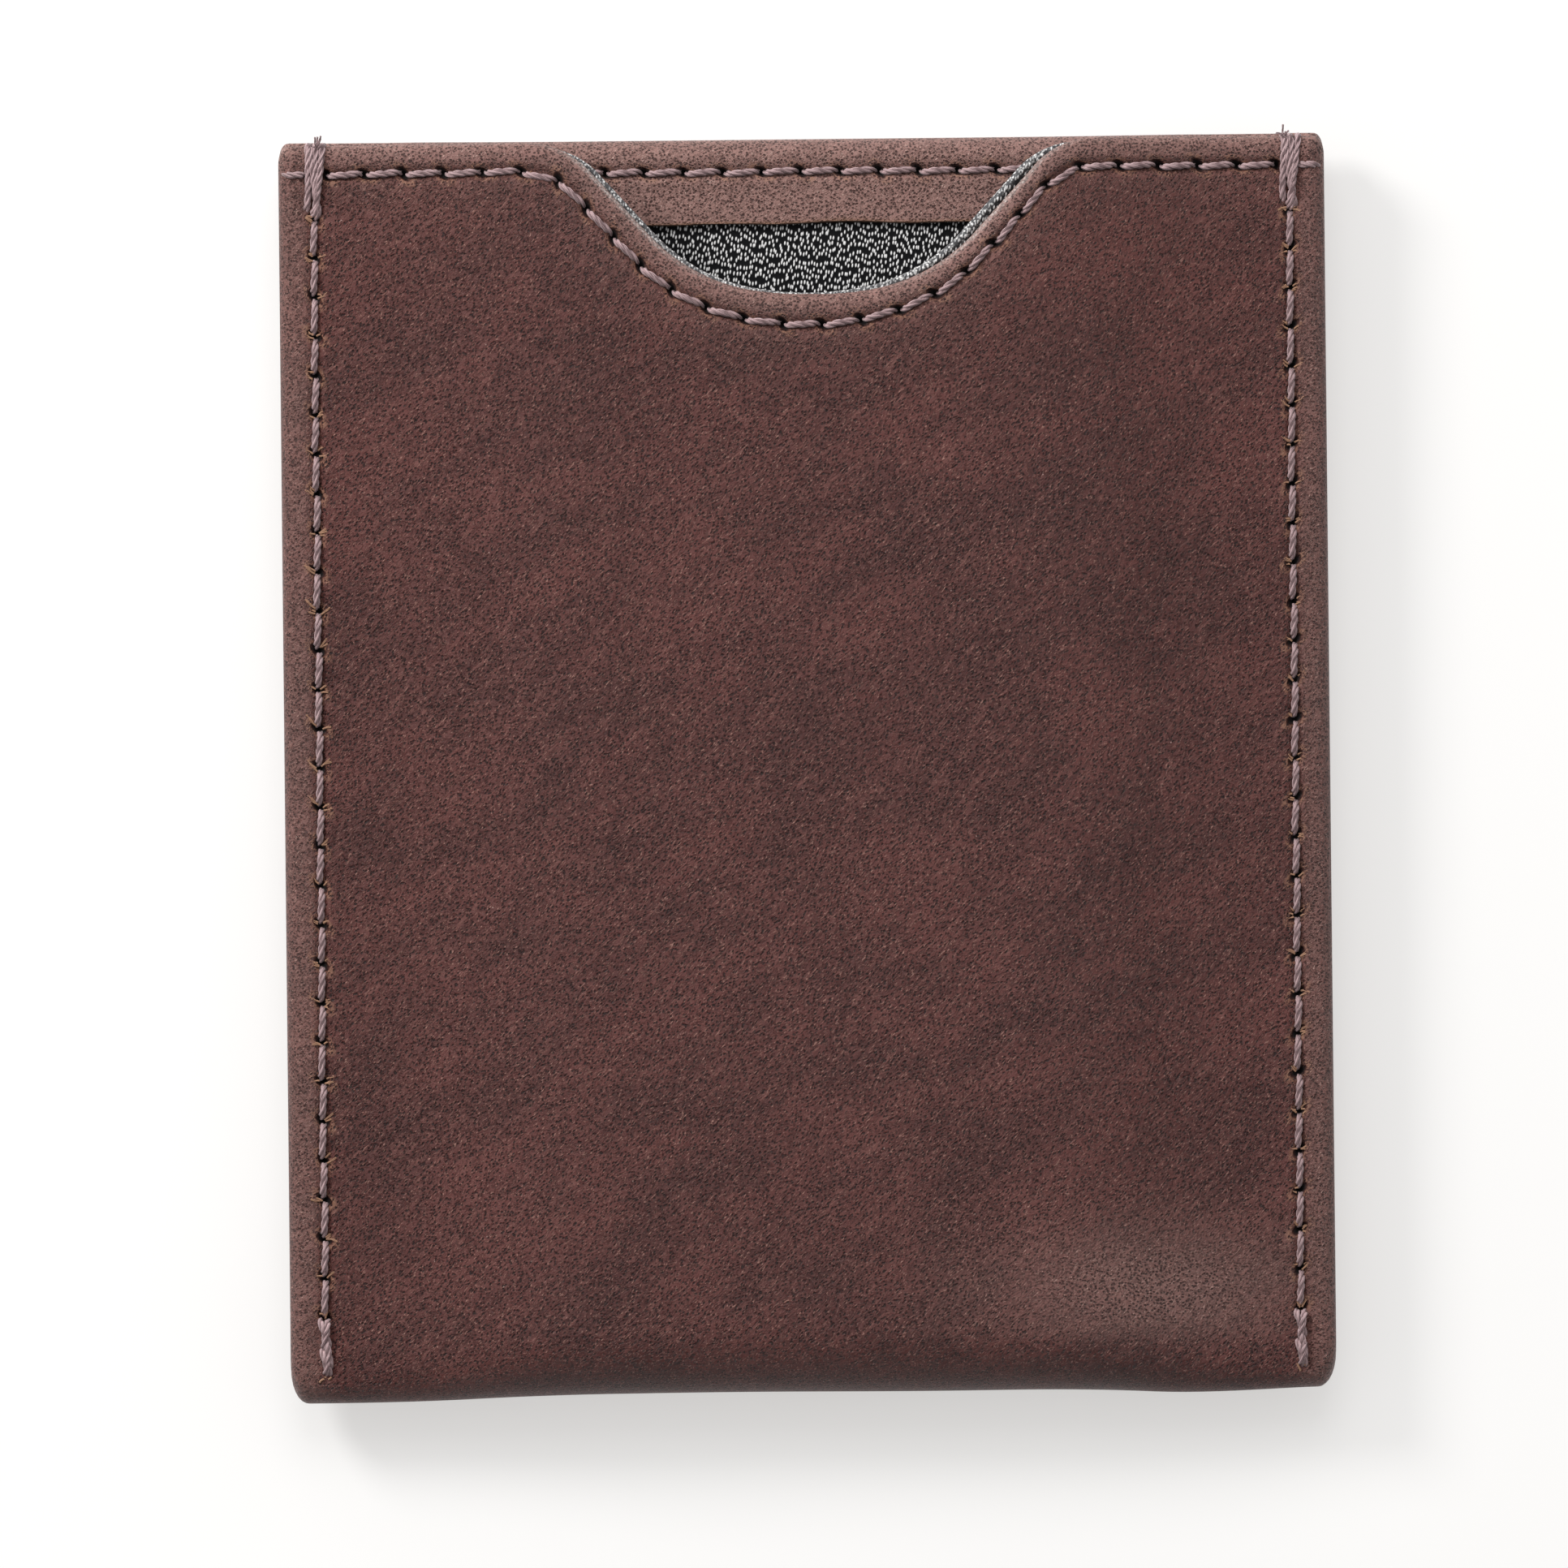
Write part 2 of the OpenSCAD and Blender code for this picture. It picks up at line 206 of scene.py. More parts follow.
def straight_lip(s):
    return s, np.full_like(s, half_l), np.zeros_like(s)


def row_length(s, inset):
    """Length along a row of stitches that runs inset from the lip, at the lip's length s."""
    return s + inset * np.sign(s) * np.interp(np.abs(s), fine_s, fine_turn)


def s_on_row(length, inset):
    """The lip's length s for a length along that row."""
    along = fine_s + inset * fine_turn
    return np.sign(length) * np.interp(np.abs(length), along, fine_s)


def s_at_x(x):
    """The lip's length s at a distance x, past the notch's shoulders."""
    return np.sign(x) * (np.abs(x - notch_x) - fine_x[-1] + fine_s[-1])


def half_height(x):
    """Half the wallet's thickness at a distance x: flat, then two equal arcs to the seam."""
    u = np.abs(x)
    run, drop = slope_end - flat_half, half_t - half_seam
    r = (run ** 2 + drop ** 2) / (4 * drop)
    shoulder = half_t - r + np.sqrt(np.maximum(r ** 2 - np.clip(u - flat_half, 0, None) ** 2, 0))
    foot = half_seam + r - np.sqrt(np.maximum(r ** 2 - np.clip(slope_end - u, 0, None) ** 2, 0))
    return np.where(u < (flat_half + slope_end) / 2, shoulder, foot)


def round_corner(u, r):
    """How far a rounded corner of radius r draws the end back at a distance u from the middle."""
    past_start = np.clip(u - (half_w - r), 0, r)
    return r - np.sqrt(r ** 2 - past_start ** 2)


NEAR_LIP = 4.4 * MM
BODY_END = half_l - fold_y
FOLD_LENGTH = math.pi * half_t
STRAIGHT_SHARE = 0.1


def place(face, outline, s, v, depth):
    """A point of the strip: s along its lip, v down from the lip, depth below its grain side.
    face is 1 on the front wall and -1 on the back wall."""
    lip_x, lip_y, turn = outline(s)
    flat_x = np.abs(lip_x)
    # Past the side edge, the strip turns under and runs back towards the pocket.
    around = np.clip((flat_x - edge_x) / edge_r, 0, math.pi)
    under = np.clip(flat_x - edge_x - math.pi * edge_r, 0, None)
    ring = np.maximum(edge_r - depth, 0.01 * MM)
    u = np.where(flat_x < edge_x, flat_x, edge_x + ring * np.sin(around) - under)
    deep = np.where(flat_x < edge_x, depth, edge_r - ring * np.cos(around))
    side = np.where(lip_x < 0, -1.0, 1.0)
    # Near the lip, rows keep their distance from it. Further down they turn straight.
    near = np.minimum(v, NEAR_LIP)
    near_x = side * u + np.sin(turn) * near
    near_y = lip_y - np.cos(turn) * near - round_corner(u, high_corner_r)
    body = np.clip((v - NEAR_LIP) / (BODY_END - NEAR_LIP), 0, 1)
    straight_x = np.interp(s, [s_at_x(-split_x), s_at_x(split_x)], [-split_x, split_x])
    low_x = np.where(np.abs(lip_x) < split_x, straight_x, side * u) if outline is notched_lip else side * u
    x = near_x + (low_x - near_x) * body
    y = near_y + (fold_y - near_y) * body
    # Past the body comes the bottom fold, a half turn whose radius is the local half height.
    h = half_height(x)
    slope = np.clip((half_t - h) / (half_t - half_seam), 0, 1)
    end_y = -half_l + corner_drop * (1 - slope) + round_corner(np.abs(x), low_corner_r)
    end_y += corner_lift * smooth((x - lifted_from) / (half_w - lifted_from))
    straight = fold_y - (end_y + h)
    turned = np.clip((v - BODY_END) / FOLD_LENGTH, 0, None)
    gone = straight * np.minimum(turned / STRAIGHT_SHARE, 1) + math.pi * h * turned
    angle = np.clip((gone - straight) / h, 0, math.pi)
    radius = np.maximum(h - deep, 0.02 * MM)
    y = np.where(v > BODY_END, fold_y - np.minimum(gone, straight) - radius * np.sin(angle), y)
    z = mid_z + face * radius * np.cos(angle)
    return np.stack([x, y, z], -1)


def bump(x, width):
    return np.exp(-(x / width) ** 2 / 2)


def stitch_relief(along, across):
    """How deep a row of stitches pulls the leather in, by the distance along it from a needle
    hole and the distance across it. Thread beds, needle holes, and the leather raised beside."""
    to_hole = np.abs(along - pitch * np.round(along / pitch))
    hole = 0.5 * bump(to_hole, 0.17 * MM) * bump(across, 0.2 * MM)
    bed = 0.24 * bump(across, 0.26 * MM)
    raised = 0.06 * bump(np.abs(across) - 0.8 * MM, 0.35 * MM)
    pucker = 0.045 * np.cos(2 * math.pi * along / pitch) * bump(across, 0.9 * MM)
    return (hole + bed - raised + pucker) * MM


waves = np.random.default_rng(7).uniform(-1, 1, (9, 4))


def handling_waves(x, y):
    """Slow unevenness of a handled wall, a few hundredths of a millimetre high."""
    total = np.zeros_like(x)
    for kx, ky, phase, height in waves:
        total += height * np.sin((kx * x + ky * y) / (4.5 * MM) + 9 * phase)
    return 0.018 * MM * total


def rounded_end(v, depth, middle, r):
    """Depth drawn towards the middle of a layer whose end is rounded to a radius r."""
    share = np.sqrt(1 - np.clip(1 - v / r, 0, 1) ** 2)
    return middle + (depth - middle) * share


def smooth(x):
    t = np.clip(x, 0, 1)
    return t * t * (3 - 2 * t)


def inside(value, low, high, soft):
    """1 between low and high, falling to 0 over soft outside them."""
    return smooth((value - low) / soft + 1) * smooth((high - value) / soft + 1)


def shell(name, outer, inner, material, masks=None):
    """Closed mesh between two grids of points of one size, joined along their borders."""
    rows, columns = outer.shape[:2]
    count = rows * columns
    index = np.arange(count).reshape(rows, columns)
    quads = np.stack([index[:-1, :-1], index[1:, :-1], index[1:, 1:], index[:-1, 1:]], -1).reshape(-1, 4)
    rim = np.concatenate([index[0, :-1], index[:-1, -1], index[-1, :0:-1], index[:0:-1, 0]])
    after = np.roll(rim, -1)
    wall = np.stack([rim, after, after + count, rim + count], -1)
    faces = np.concatenate([quads, quads[:, ::-1] + count, wall])
    points = np.concatenate([outer.reshape(-1, 3), inner.reshape(-1, 3)])
    mesh = bpy.data.meshes.new(name)
    mesh.from_pydata(points.tolist(), [], faces.tolist())
    for key, (on_outer, on_inner) in (masks or {}).items():
        values = np.concatenate([on_outer.ravel(), on_inner.ravel()]).astype(np.float32)
        is_vector = on_outer.ndim == 3
        layer = mesh.attributes.new(key, "FLOAT_VECTOR" if is_vector else "FLOAT", "POINT")
        layer.data.foreach_set("vector" if is_vector else "value", values)
    tidy_mesh(mesh)
    mesh.materials.append(material)
    piece = bpy.data.objects.new(name, mesh)
    bpy.context.scene.collection.objects.link(piece)
    return piece


def tidy_mesh(mesh):
    """Joins points that meet, turns the faces outwards and shades the mesh smooth."""
    work = bmesh.new()
    work.from_mesh(mesh)
    bmesh.ops.remove_doubles(work, verts=work.verts, dist=0.001 * MM)
    bmesh.ops.dissolve_degenerate(work, edges=work.edges, dist=0.0005 * MM)
    bmesh.ops.recalc_face_normals(work, faces=work.faces)
    work.to_mesh(mesh)
    work.free()
    mesh.shade_smooth()
    mesh.set_sharp_from_angle(angle=math.radians(60))


def mixed(tree, factor, a, b, blend="MIX"):
    """Mix node of two colours; each of the three may be a socket or a value."""
    node = tree.nodes.new("ShaderNodeMix")
    node.data_type = "RGBA"
    node.blend_type = blend
    for socket, value in zip((node.inputs[0], node.inputs[6], node.inputs[7]), (factor, a, b)):
        if isinstance(value, bpy.types.NodeSocket):
            tree.links.new(value, socket)
        else:
            socket.default_value = value
    return node.outputs[2]


def maths(tree, operation, *values):
    node = tree.nodes.new("ShaderNodeMath")
    node.operation = operation
    for socket, value in zip(node.inputs, values):
        if isinstance(value, bpy.types.NodeSocket):
            tree.links.new(value, socket)
        else:
            socket.default_value = value
    return node.outputs[0]


def ramp(tree, value, low, high):
    """The value's way from low to high as 0 to 1, smoothly."""
    node = tree.nodes.new("ShaderNodeMapRange")
    node.interpolation_type = "SMOOTHSTEP"
    tree.links.new(value, node.inputs["Value"])
    node.inputs["From Min"].default_value = low
    node.inputs["From Max"].default_value = high
    return node.outputs["Result"]


def noise(tree, vector, scale, detail=2.0, roughness=0.5):
    node = tree.nodes.new("ShaderNodeTexNoise")
    tree.links.new(vector, node.inputs["Vector"])
    node.inputs["Scale"].default_value = scale
    node.inputs["Detail"].default_value = detail
    node.inputs["Roughness"].default_value = roughness
    return node.outputs["Fac"]


def scaled_place(tree, angle, across, along):
    """Object coordinates turned about Z and divided by a cell's width and length in millimetres."""
    place_node = tree.nodes.new("ShaderNodeTexCoord")
    turn = tree.nodes.new("ShaderNodeMapping")
    turn.inputs["Rotation"].default_value = (0, 0, math.radians(angle))
    tree.links.new(place_node.outputs["Object"], turn.inputs["Vector"])
    stretch = tree.nodes.new("ShaderNodeVectorMath")
    stretch.operation = "MULTIPLY"
    stretch.inputs[1].default_value = (1000 / along, 1000 / across, 1000 / across)
    tree.links.new(turn.outputs["Vector"], stretch.inputs[0])
    return stretch.outputs["Vector"]


def stirred(tree, vector, scale, amount):
    """Coordinates pushed about by noise, so that cells lose their regular shapes."""
    node = tree.nodes.new("ShaderNodeTexNoise")
    node.inputs["Scale"].default_value = scale
    node.inputs["Detail"].default_value = 2.0
    tree.links.new(vector, node.inputs["Vector"])
    centred = tree.nodes.new("ShaderNodeVectorMath")
    centred.operation = "SUBTRACT"
    centred.inputs[1].default_value = (0.5, 0.5, 0.5)
    tree.links.new(node.outputs["Color"], centred.inputs[0])
    pushed = tree.nodes.new("ShaderNodeVectorMath")
    pushed.operation = "MULTIPLY_ADD"
    pushed.inputs[1].default_value = (amount, amount, amount)
    tree.links.new(centred.outputs["Vector"], pushed.inputs[0])
    tree.links.new(vector, pushed.inputs[2])
    return pushed.outputs["Vector"]


def cells(tree, vector, feature="F1"):
    node = tree.nodes.new("ShaderNodeTexVoronoi")
    node.feature = feature
    node.inputs["Scale"].default_value = 1.0
    tree.links.new(vector, node.inputs["Vector"])
    return node.outputs["Distance"]


def one_minus(tree, value):
    return maths(tree, "SUBTRACT", 1.0, value)


def blended(tree, factor, a, b):
    node = tree.nodes.new("ShaderNodeMix")
    for socket, value in zip((node.inputs[0], node.inputs[2], node.inputs[3]), (factor, a, b)):
        tree.links.new(value, socket)
    return node.outputs[0]


def grain_group():
    """Leather grain: small dark Pores, Creases between them, light Scratches and glints along the brushed
    direction, whose light colour is partly painted glints on the grain's relief, and their Height. Stretched
    brings the rounder, wider pores and finer creases of leather that is turned over an edge."""
    group = bpy.data.node_groups.new("leather_grain", "ShaderNodeTree")
    group.interface.new_socket("Stretched", in_out="INPUT", socket_type="NodeSocketFloat")
    for name in ("Pores", "Creases", "Scuffs", "Height", "Streaks", "Mottling", "Specks"):
        group.interface.new_socket(name, in_out="OUTPUT", socket_type="NodeSocketFloat")
    entry = group.nodes.new("NodeGroupInput")
    leave = group.nodes.new("NodeGroupOutput")
    stretched = entry.outputs["Stretched"]
    brushed = stirred(group, scaled_place(group, -47, 0.20, 0.33), 0.8, 0.9)
    opened = stirred(group, scaled_place(group, 20, 0.21, 0.25), 0.9, 0.6)
    opening = ramp(group, stretched, 0.1, 0.45)
    pores = blended(group, opening, one_minus(group, ramp(group, cells(group, brushed), 0.20, 0.44)),
                    one_minus(group, ramp(group, cells(group, opened), 0.22, 0.50)))
    folds = noise(group, scaled_place(group, -47, 0.42, 0.85), 1.0, 3.0, 0.62)
    fold_lines = maths(group, "ABSOLUTE", maths(group, "SUBTRACT", folds, 0.5))
    creases = one_minus(group, ramp(group, fold_lines, 0.0, 0.045))
    strokes = noise(group, scaled_place(group, -47, 0.09, 0.30), 1.0, 2.0, 0.6)
    scratches_and_glints = ramp(group, strokes, 0.57, 0.68)
    fine = noise(group, scaled_place(group, -47, 0.07, 0.12), 1.0, 2.0, 0.6)
    height = maths(group, "MULTIPLY_ADD", scratches_and_glints, 0.35, maths(group, "MULTIPLY", fine, 0.7))
    height = maths(group, "SUBTRACT", height, maths(group, "MULTIPLY", pores, 0.6))
    height = maths(group, "SUBTRACT", height, maths(group, "MULTIPLY", creases, 0.3))
    streaks = noise(group, scaled_place(group, -44, 0.35, 2.6), 1.0, 3.0, 0.62)
    mottling = noise(group, scaled_place(group, -30, 6.0, 12.0), 1.0, 5.0, 0.66)
    specks = one_minus(group, ramp(group, cells(group, scaled_place(group, 0, 2.6, 2.6)), 0.010, 0.030))
    for name, value in (("Pores", pores), ("Creases", creases), ("Scuffs", scratches_and_glints), ("Height", height),
                        ("Streaks", streaks), ("Mottling", mottling), ("Specks", specks)):
        group.links.new(value, leave.inputs[name])
    return group


leather_grain = grain_group()


def needle_hole_group():
    """Dark slits where the needle went through, their near-black colour painted as the shade deep in the
    holes, from a row's Along (in stitches), Across (in mm) and
    On row, at an angle to the row."""
    group = bpy.data.node_groups.new("needle_holes", "ShaderNodeTree")
    group.interface.new_socket("Row", in_out="INPUT", socket_type="NodeSocketVector")
    group.interface.new_socket("Slit angle", in_out="INPUT", socket_type="NodeSocketFloat")
    for name in ("Slit", "Torn rim"):
        group.interface.new_socket(name, in_out="OUTPUT", socket_type="NodeSocketFloat")
    entry = group.nodes.new("NodeGroupInput")
    leave = group.nodes.new("NodeGroupOutput")
    row = group.nodes.new("ShaderNodeSeparateXYZ")
    group.links.new(entry.outputs["Row"], row.inputs["Vector"])
    nearest = maths(group, "ROUND", row.outputs["X"])
    gap = maths(group, "MULTIPLY", maths(group, "SUBTRACT", row.outputs["X"], nearest), pitch / MM)
    change = group.nodes.new("ShaderNodeTexWhiteNoise")
    change.noise_dimensions = "1D"
    group.links.new(nearest, change.inputs["W"])
    angle = maths(group, "ADD", entry.outputs["Slit angle"],
                  maths(group, "MULTIPLY", maths(group, "SUBTRACT", change.outputs["Value"], 0.5), 0.6))
    cos, sin = maths(group, "COSINE", angle), maths(group, "SINE", angle)
    along = maths(group, "ADD", maths(group, "MULTIPLY", gap, cos),
                  maths(group, "MULTIPLY", row.outputs["Y"], sin))
    across = maths(group, "SUBTRACT", maths(group, "MULTIPLY", row.outputs["Y"], cos),
                   maths(group, "MULTIPLY", gap, sin))
    far_along = maths(group, "POWER", maths(group, "DIVIDE", along, 0.70), 2.0)
    far_across = maths(group, "POWER", maths(group, "DIVIDE", across, 0.36), 2.0)
    far = maths(group, "SQRT", maths(group, "ADD", far_along, far_across))
    slit = one_minus(group, ramp(group, far, 0.55, 1.15))
    rim = maths(group, "MULTIPLY", ramp(group, far, 0.8, 1.2), one_minus(group, ramp(group, far, 1.3, 2.2)))
    for name, value in (("Slit", slit), ("Torn rim", rim)):
        group.links.new(maths(group, "MULTIPLY", value, row.outputs["Z"]), leave.inputs[name])
    return group


needle_holes = needle_hole_group()


def attribute(tree, name):
    node = tree.nodes.new("ShaderNodeAttribute")
    node.attribute_name = name
    return node.outputs["Fac"]


def add_relief(tree, shader, height, strength, distance):
    """Fine relief of a height on the shader's normal, at most a distance deep."""
    relief = tree.nodes.new("ShaderNodeBump")
    relief.inputs["Strength"].default_value = strength
    relief.inputs["Distance"].default_value = distance
    tree.links.new(height, relief.inputs["Height"])
    tree.links.new(relief.outputs["Normal"], shader.inputs["Normal"])


def leather_material():
    """Brown grain leather: dark pores and creases, light strokes with painted glints, paler where it is
    pulled over an edge and where sheen is painted on, a painted highlight along the notch's rolled lip,
    near-black needle holes painted as shade, and a tan raw edge."""
    material, tree, shader = new_material("brown_leather")
    stretched = attribute(tree, "stretched")
    raw = attribute(tree, "raw")
    grain = tree.nodes.new("ShaderNodeGroup")
    grain.node_tree = leather_grain
    tree.links.new(stretched, grain.inputs["Stretched"])
    body = mixed(tree, ramp(tree, grain.outputs["Mottling"], 0.34, 0.66), (0.064, 0.0166, 0.0146, 1),
                 (0.111, 0.0322, 0.0278, 1))
    body = mixed(tree, ramp(tree, grain.outputs["Streaks"], 0.48, 0.78), body, (0.155, 0.057, 0.048, 1))
    # Paler where the leather is pulled over an edge, partly painted sheen.
    base = mixed(tree, stretched, body, (0.300, 0.168, 0.146, 1))
    # Light strokes of the grain: partly worn scratches, partly painted glints.
    scratch_glint_colour = mixed(tree, stretched, (0.38, 0.205, 0.165, 1), (0.62, 0.43, 0.38, 1))
    pore = mixed(tree, stretched, (0.009, 0.0035, 0.0036, 1), (0.050, 0.0215, 0.0185, 1))
    colour = mixed(tree, maths(tree, "MULTIPLY", grain.outputs["Scuffs"], 0.8), base, scratch_glint_colour)
    colour = mixed(tree, maths(tree, "MULTIPLY", grain.outputs["Creases"], 0.45), colour, pore)
    colour = mixed(tree, maths(tree, "MULTIPLY", grain.outputs["Pores"], 0.9), colour, pore)
    # Painted highlight: a pale, beaded colour along the rolled lip on the notch's flanks.
    beads = one_minus(tree, ramp(tree, cells(tree, scaled_place(tree, 0, 0.26, 0.26)), 0.2, 0.6))
    burnished = maths(tree, "MULTIPLY", attribute(tree, "burnished"),
                      maths(tree, "MULTIPLY_ADD", beads, 0.7, 0.3))
    colour = mixed(tree, burnished, colour, (0.62, 0.55, 0.52, 1))
    specks = maths(tree, "MULTIPLY", grain.outputs["Specks"], 0.75)
    colour = mixed(tree, specks, colour, (0.45, 0.32, 0.28, 1))
    colour = mixed(tree, maths(tree, "MULTIPLY", raw, 0.9), colour, (0.24, 0.125, 0.075, 1))
    slits = None
    for row, slit_angle in (("mouth_row", 0.6), ("seam_row", 0.75)):
        holes = tree.nodes.new("ShaderNodeGroup")
        holes.node_tree = needle_holes
        place_node = tree.nodes.new("ShaderNodeAttribute")
        place_node.attribute_name = row
        tree.links.new(place_node.outputs["Vector"], holes.inputs["Row"])
        holes.inputs["Slit angle"].default_value = slit_angle
        torn = maths(tree, "MULTIPLY", holes.outputs["Torn rim"],
                     ramp(tree, grain.outputs["Height"], 0.1, 0.6))
        colour = mixed(tree, maths(tree, "MULTIPLY", torn, 0.8), colour, (0.33, 0.175, 0.105, 1))
        # Painted shade: near black in the needle holes.
        colour = mixed(tree, holes.outputs["Slit"], colour, (0.003, 0.0018, 0.0018, 1))
        slit = holes.outputs["Slit"]
        slits = slit if slits is None else maths(tree, "MAXIMUM", slits, slit)
    tree.links.new(colour, shader.inputs["Base Color"])
    rough = maths(tree, "ADD", 0.33, maths(tree, "MULTIPLY", grain.outputs["Mottling"], 0.18))
    tree.links.new(maths(tree, "MAXIMUM", rough, slits), shader.inputs["Roughness"])
    shader.inputs["Specular IOR Level"].default_value = 0.34
    height = maths(tree, "SUBTRACT", grain.outputs["Height"], maths(tree, "MULTIPLY", slits, 5.0))
    add_relief(tree, shader, height, 1.0, 0.11 * MM)
    return material


brown_leather = leather_material()

LIP_ROLL_R = 0.62 * MM
mouth_count = 27
mouth_start = -notch_x - mouth_count * pitch / 2
mouth_end = mouth_start + mouth_count * pitch


def lip_setback(s):
    """How far the leather's lip stands back from the outline, so the lining's bead shows along
    the notch and hides behind the straight parts of the mouth."""
    left = np.interp(-s, lip_bends, [0.14, 0.25, 0.38, 0.38, 0.3])
    right = np.interp(s, lip_bends, [0.14, 0.35, 0.8, 0.8, 0.3])
    return np.where(s < 0, left, right) * MM


def seam_relief(points):
    """Relief of the two side seams and their bar tacks, by the places of the points."""
    across = np.abs(points[..., 0]) - seam_x
    y = points[..., 1]
    row = stitch_relief(y - seam_start_y, across) * inside(y, seam_start_y, seam_end_y, 0.4 * MM)
    tacks = (inside(y, seam_end_y, half_l, 0.4 * MM)
             + inside(y, seam_start_y - 4.6 * MM, seam_start_y, 0.4 * MM))
    return row + 0.22 * MM * tacks * bump(across, 0.75 * MM)


def seam_place(points, top_layer):
    y = points[..., 1]
    on_row = inside(y, seam_start_y, seam_end_y, 0.4 * MM) * top_layer
    return row_place(y - seam_start_y, np.abs(points[..., 0]) - seam_x, on_row)


def stretch_sheen_masks(points, lip_distance, lip_share):
    """How far the leather at each point is pulled over an edge, which opens its pores, and how much painted
    sheen lightens it: along the lip, along the sides and above the lower right corner.
    """
    u, y = np.abs(points[..., 0]), points[..., 1]
    # Along the lip and the turned side edges the leather is pulled over a roll, and painted sheen lightens
    # it there.
    lip_stretch_sheen = lip_share * np.exp(-np.clip(lip_distance, 0, None) / (1.9 * MM))
    side_stretch_sheen = 0.36 * smooth((u - slope_end) / (2.5 * MM))
    # Above the lower right corner, where the wall starts down to the fold, the pores open and sheen is
    # painted on.
    corner_pores_sheen = bump(points[..., 0] - 26 * MM, 8 * MM) * bump(y + 40 * MM, 3.2 * MM)
    corner_pores_sheen = 0.5 * corner_pores_sheen * smooth((y - fold_y) / (2 * MM) + 1)
    return np.maximum(np.maximum(lip_stretch_sheen, side_stretch_sheen), corner_pores_sheen)


def row_place(along, across, on_row):
    """A row's distances for the needle holes: in stitches along it, in millimetres across it."""
    return np.stack([along / pitch, across / MM, on_row], -1)


def side_columns(step, seam_step):
    """Distances across one side piece: from the flat, down the slope, over the edge and under."""
    slope = np.arange(split_x, slope_end, step)
    seam = np.arange(slope_end, edge_x, seam_step)
    around = edge_x + np.linspace(0, math.pi, 13) * edge_r
    under = edge_x + math.pi * edge_r + np.linspace(0.1, 1, 5) * turn_in
    return np.concatenate([slope, seam, around, under])


def strip_rows(body_step, end_angle):
    """Distances down a strip: rolled lip, band with the stitches, body and bottom fold."""
    roll = LIP_ROLL_R * (1 - np.cos(np.linspace(0, math.pi / 2, 8)))
    band = np.arange(roll[-1] + 0.14 * MM, NEAR_LIP, 0.14 * MM)
    body = np.linspace(NEAR_LIP, BODY_END, int((BODY_END - NEAR_LIP) / body_step))
    fold = BODY_END + np.linspace(0, end_angle / math.pi, 26)[1:] * FOLD_LENGTH
    return np.concatenate([roll, band, body, fold])


TAIL_ANGLE = math.radians(158)
TUCK_ANGLE = math.radians(147)
TUCK_DEPTH = 0.26 * MM


def front_leather(name, s_values, rows):
    s, from_lip = np.meshgrid(s_values, rows)
    v = from_lip + lip_setback(s) * (1 - smooth(from_lip / NEAR_LIP))
    flat = place(1, notched_lip, s, v, np.zeros_like(s))
    top_layer = inside(np.abs(notched_lip(s)[0]), 0, edge_x, 0.2 * MM)
    row = row_length(s, lip_inset)
    on_row = inside(row, mouth_start, mouth_end, 0.4 * MM)
    mouth_row = stitch_relief(row - mouth_start, v - lip_inset) * on_row
    puff = 0.2 * MM * np.sin(math.pi * np.clip(from_lip / lip_inset, 0, 1)) ** 1.5
    shoulder = 0.07 * MM * bump(v - lip_inset - 1.3 * MM, 0.7 * MM)
    waved = handling_waves(flat[..., 0], flat[..., 1])
    sunk = (mouth_row - puff - shoulder + seam_relief(flat) + waved) * top_layer
    # The tail of the strip tucks under the back wall's leather as the fold turns.
    tuck = TUCK_DEPTH * smooth(((v - BODY_END) / FOLD_LENGTH * math.pi - TUCK_ANGLE) / math.radians(2))
    thick = leather_t + 0.14 * MM * np.exp(-from_lip / (1.2 * MM))
    middle = thick / 2
    outer = place(1, notched_lip, s, v, rounded_end(from_lip, sunk + tuck, middle, LIP_ROLL_R))
    inner = place(1, notched_lip, s, v, rounded_end(from_lip, thick, middle, LIP_ROLL_R))
    none = np.zeros_like(s)
    # Painted highlight: the rolled corner of the lip is lightened along the notch's flanks, where it would
    # catch the light.
    flank = np.abs(notched_lip(s)[2]) / flank_turn
    burnished = 0.8 * bump(from_lip - 0.14 * MM, 0.12 * MM) * flank ** 2
    masks = {"stretched": (stretch_sheen_masks(flat, from_lip, 0.9), none + 0.4), "raw": (none, none + 1),
             "burnished": (burnished, none),
             "mouth_row": (row_place(row - mouth_start, v - lip_inset, on_row), row_place(none, none, none)),
             "seam_row": (seam_place(flat, top_layer), row_place(none, none, none))}
    return shell(name, outer, inner, brown_leather, masks)


# Columns fall on the needle holes of the mouth row, so that every hole is drawn alike.
row_steps = mouth_start + np.arange(-200, 600) * pitch / 12
columns_s = s_on_row(row_steps, lip_inset)
split_s = s_at_x(-split_x), s_at_x(split_x)
inner_s = columns_s[(columns_s > split_s[0] + 0.05 * MM) & (columns_s < split_s[1] - 0.05 * MM)]
middle_s = np.concatenate([split_s[:1], inner_s, split_s[1:]])
side_x = side_columns(0.25 * MM, 0.15 * MM)

front_middle = front_leather("front_leather_middle", middle_s, strip_rows(1.1 * MM, TAIL_ANGLE))
front_left = front_leather("front_leather_left", s_at_x(-np.flip(side_x)), strip_rows(pitch / 9, TAIL_ANGLE))
front_right = front_leather("front_leather_right", s_at_x(side_x), strip_rows(pitch / 9, TAIL_ANGLE))


def bend_side(piece):
    """Bakes a side piece's placing into its mesh."""
    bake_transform(piece)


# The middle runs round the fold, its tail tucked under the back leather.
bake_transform(front_middle)
bend_side(front_left)
bend_side(front_right)
for piece in (front_left, front_middle, front_right):
    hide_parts("front_panel")


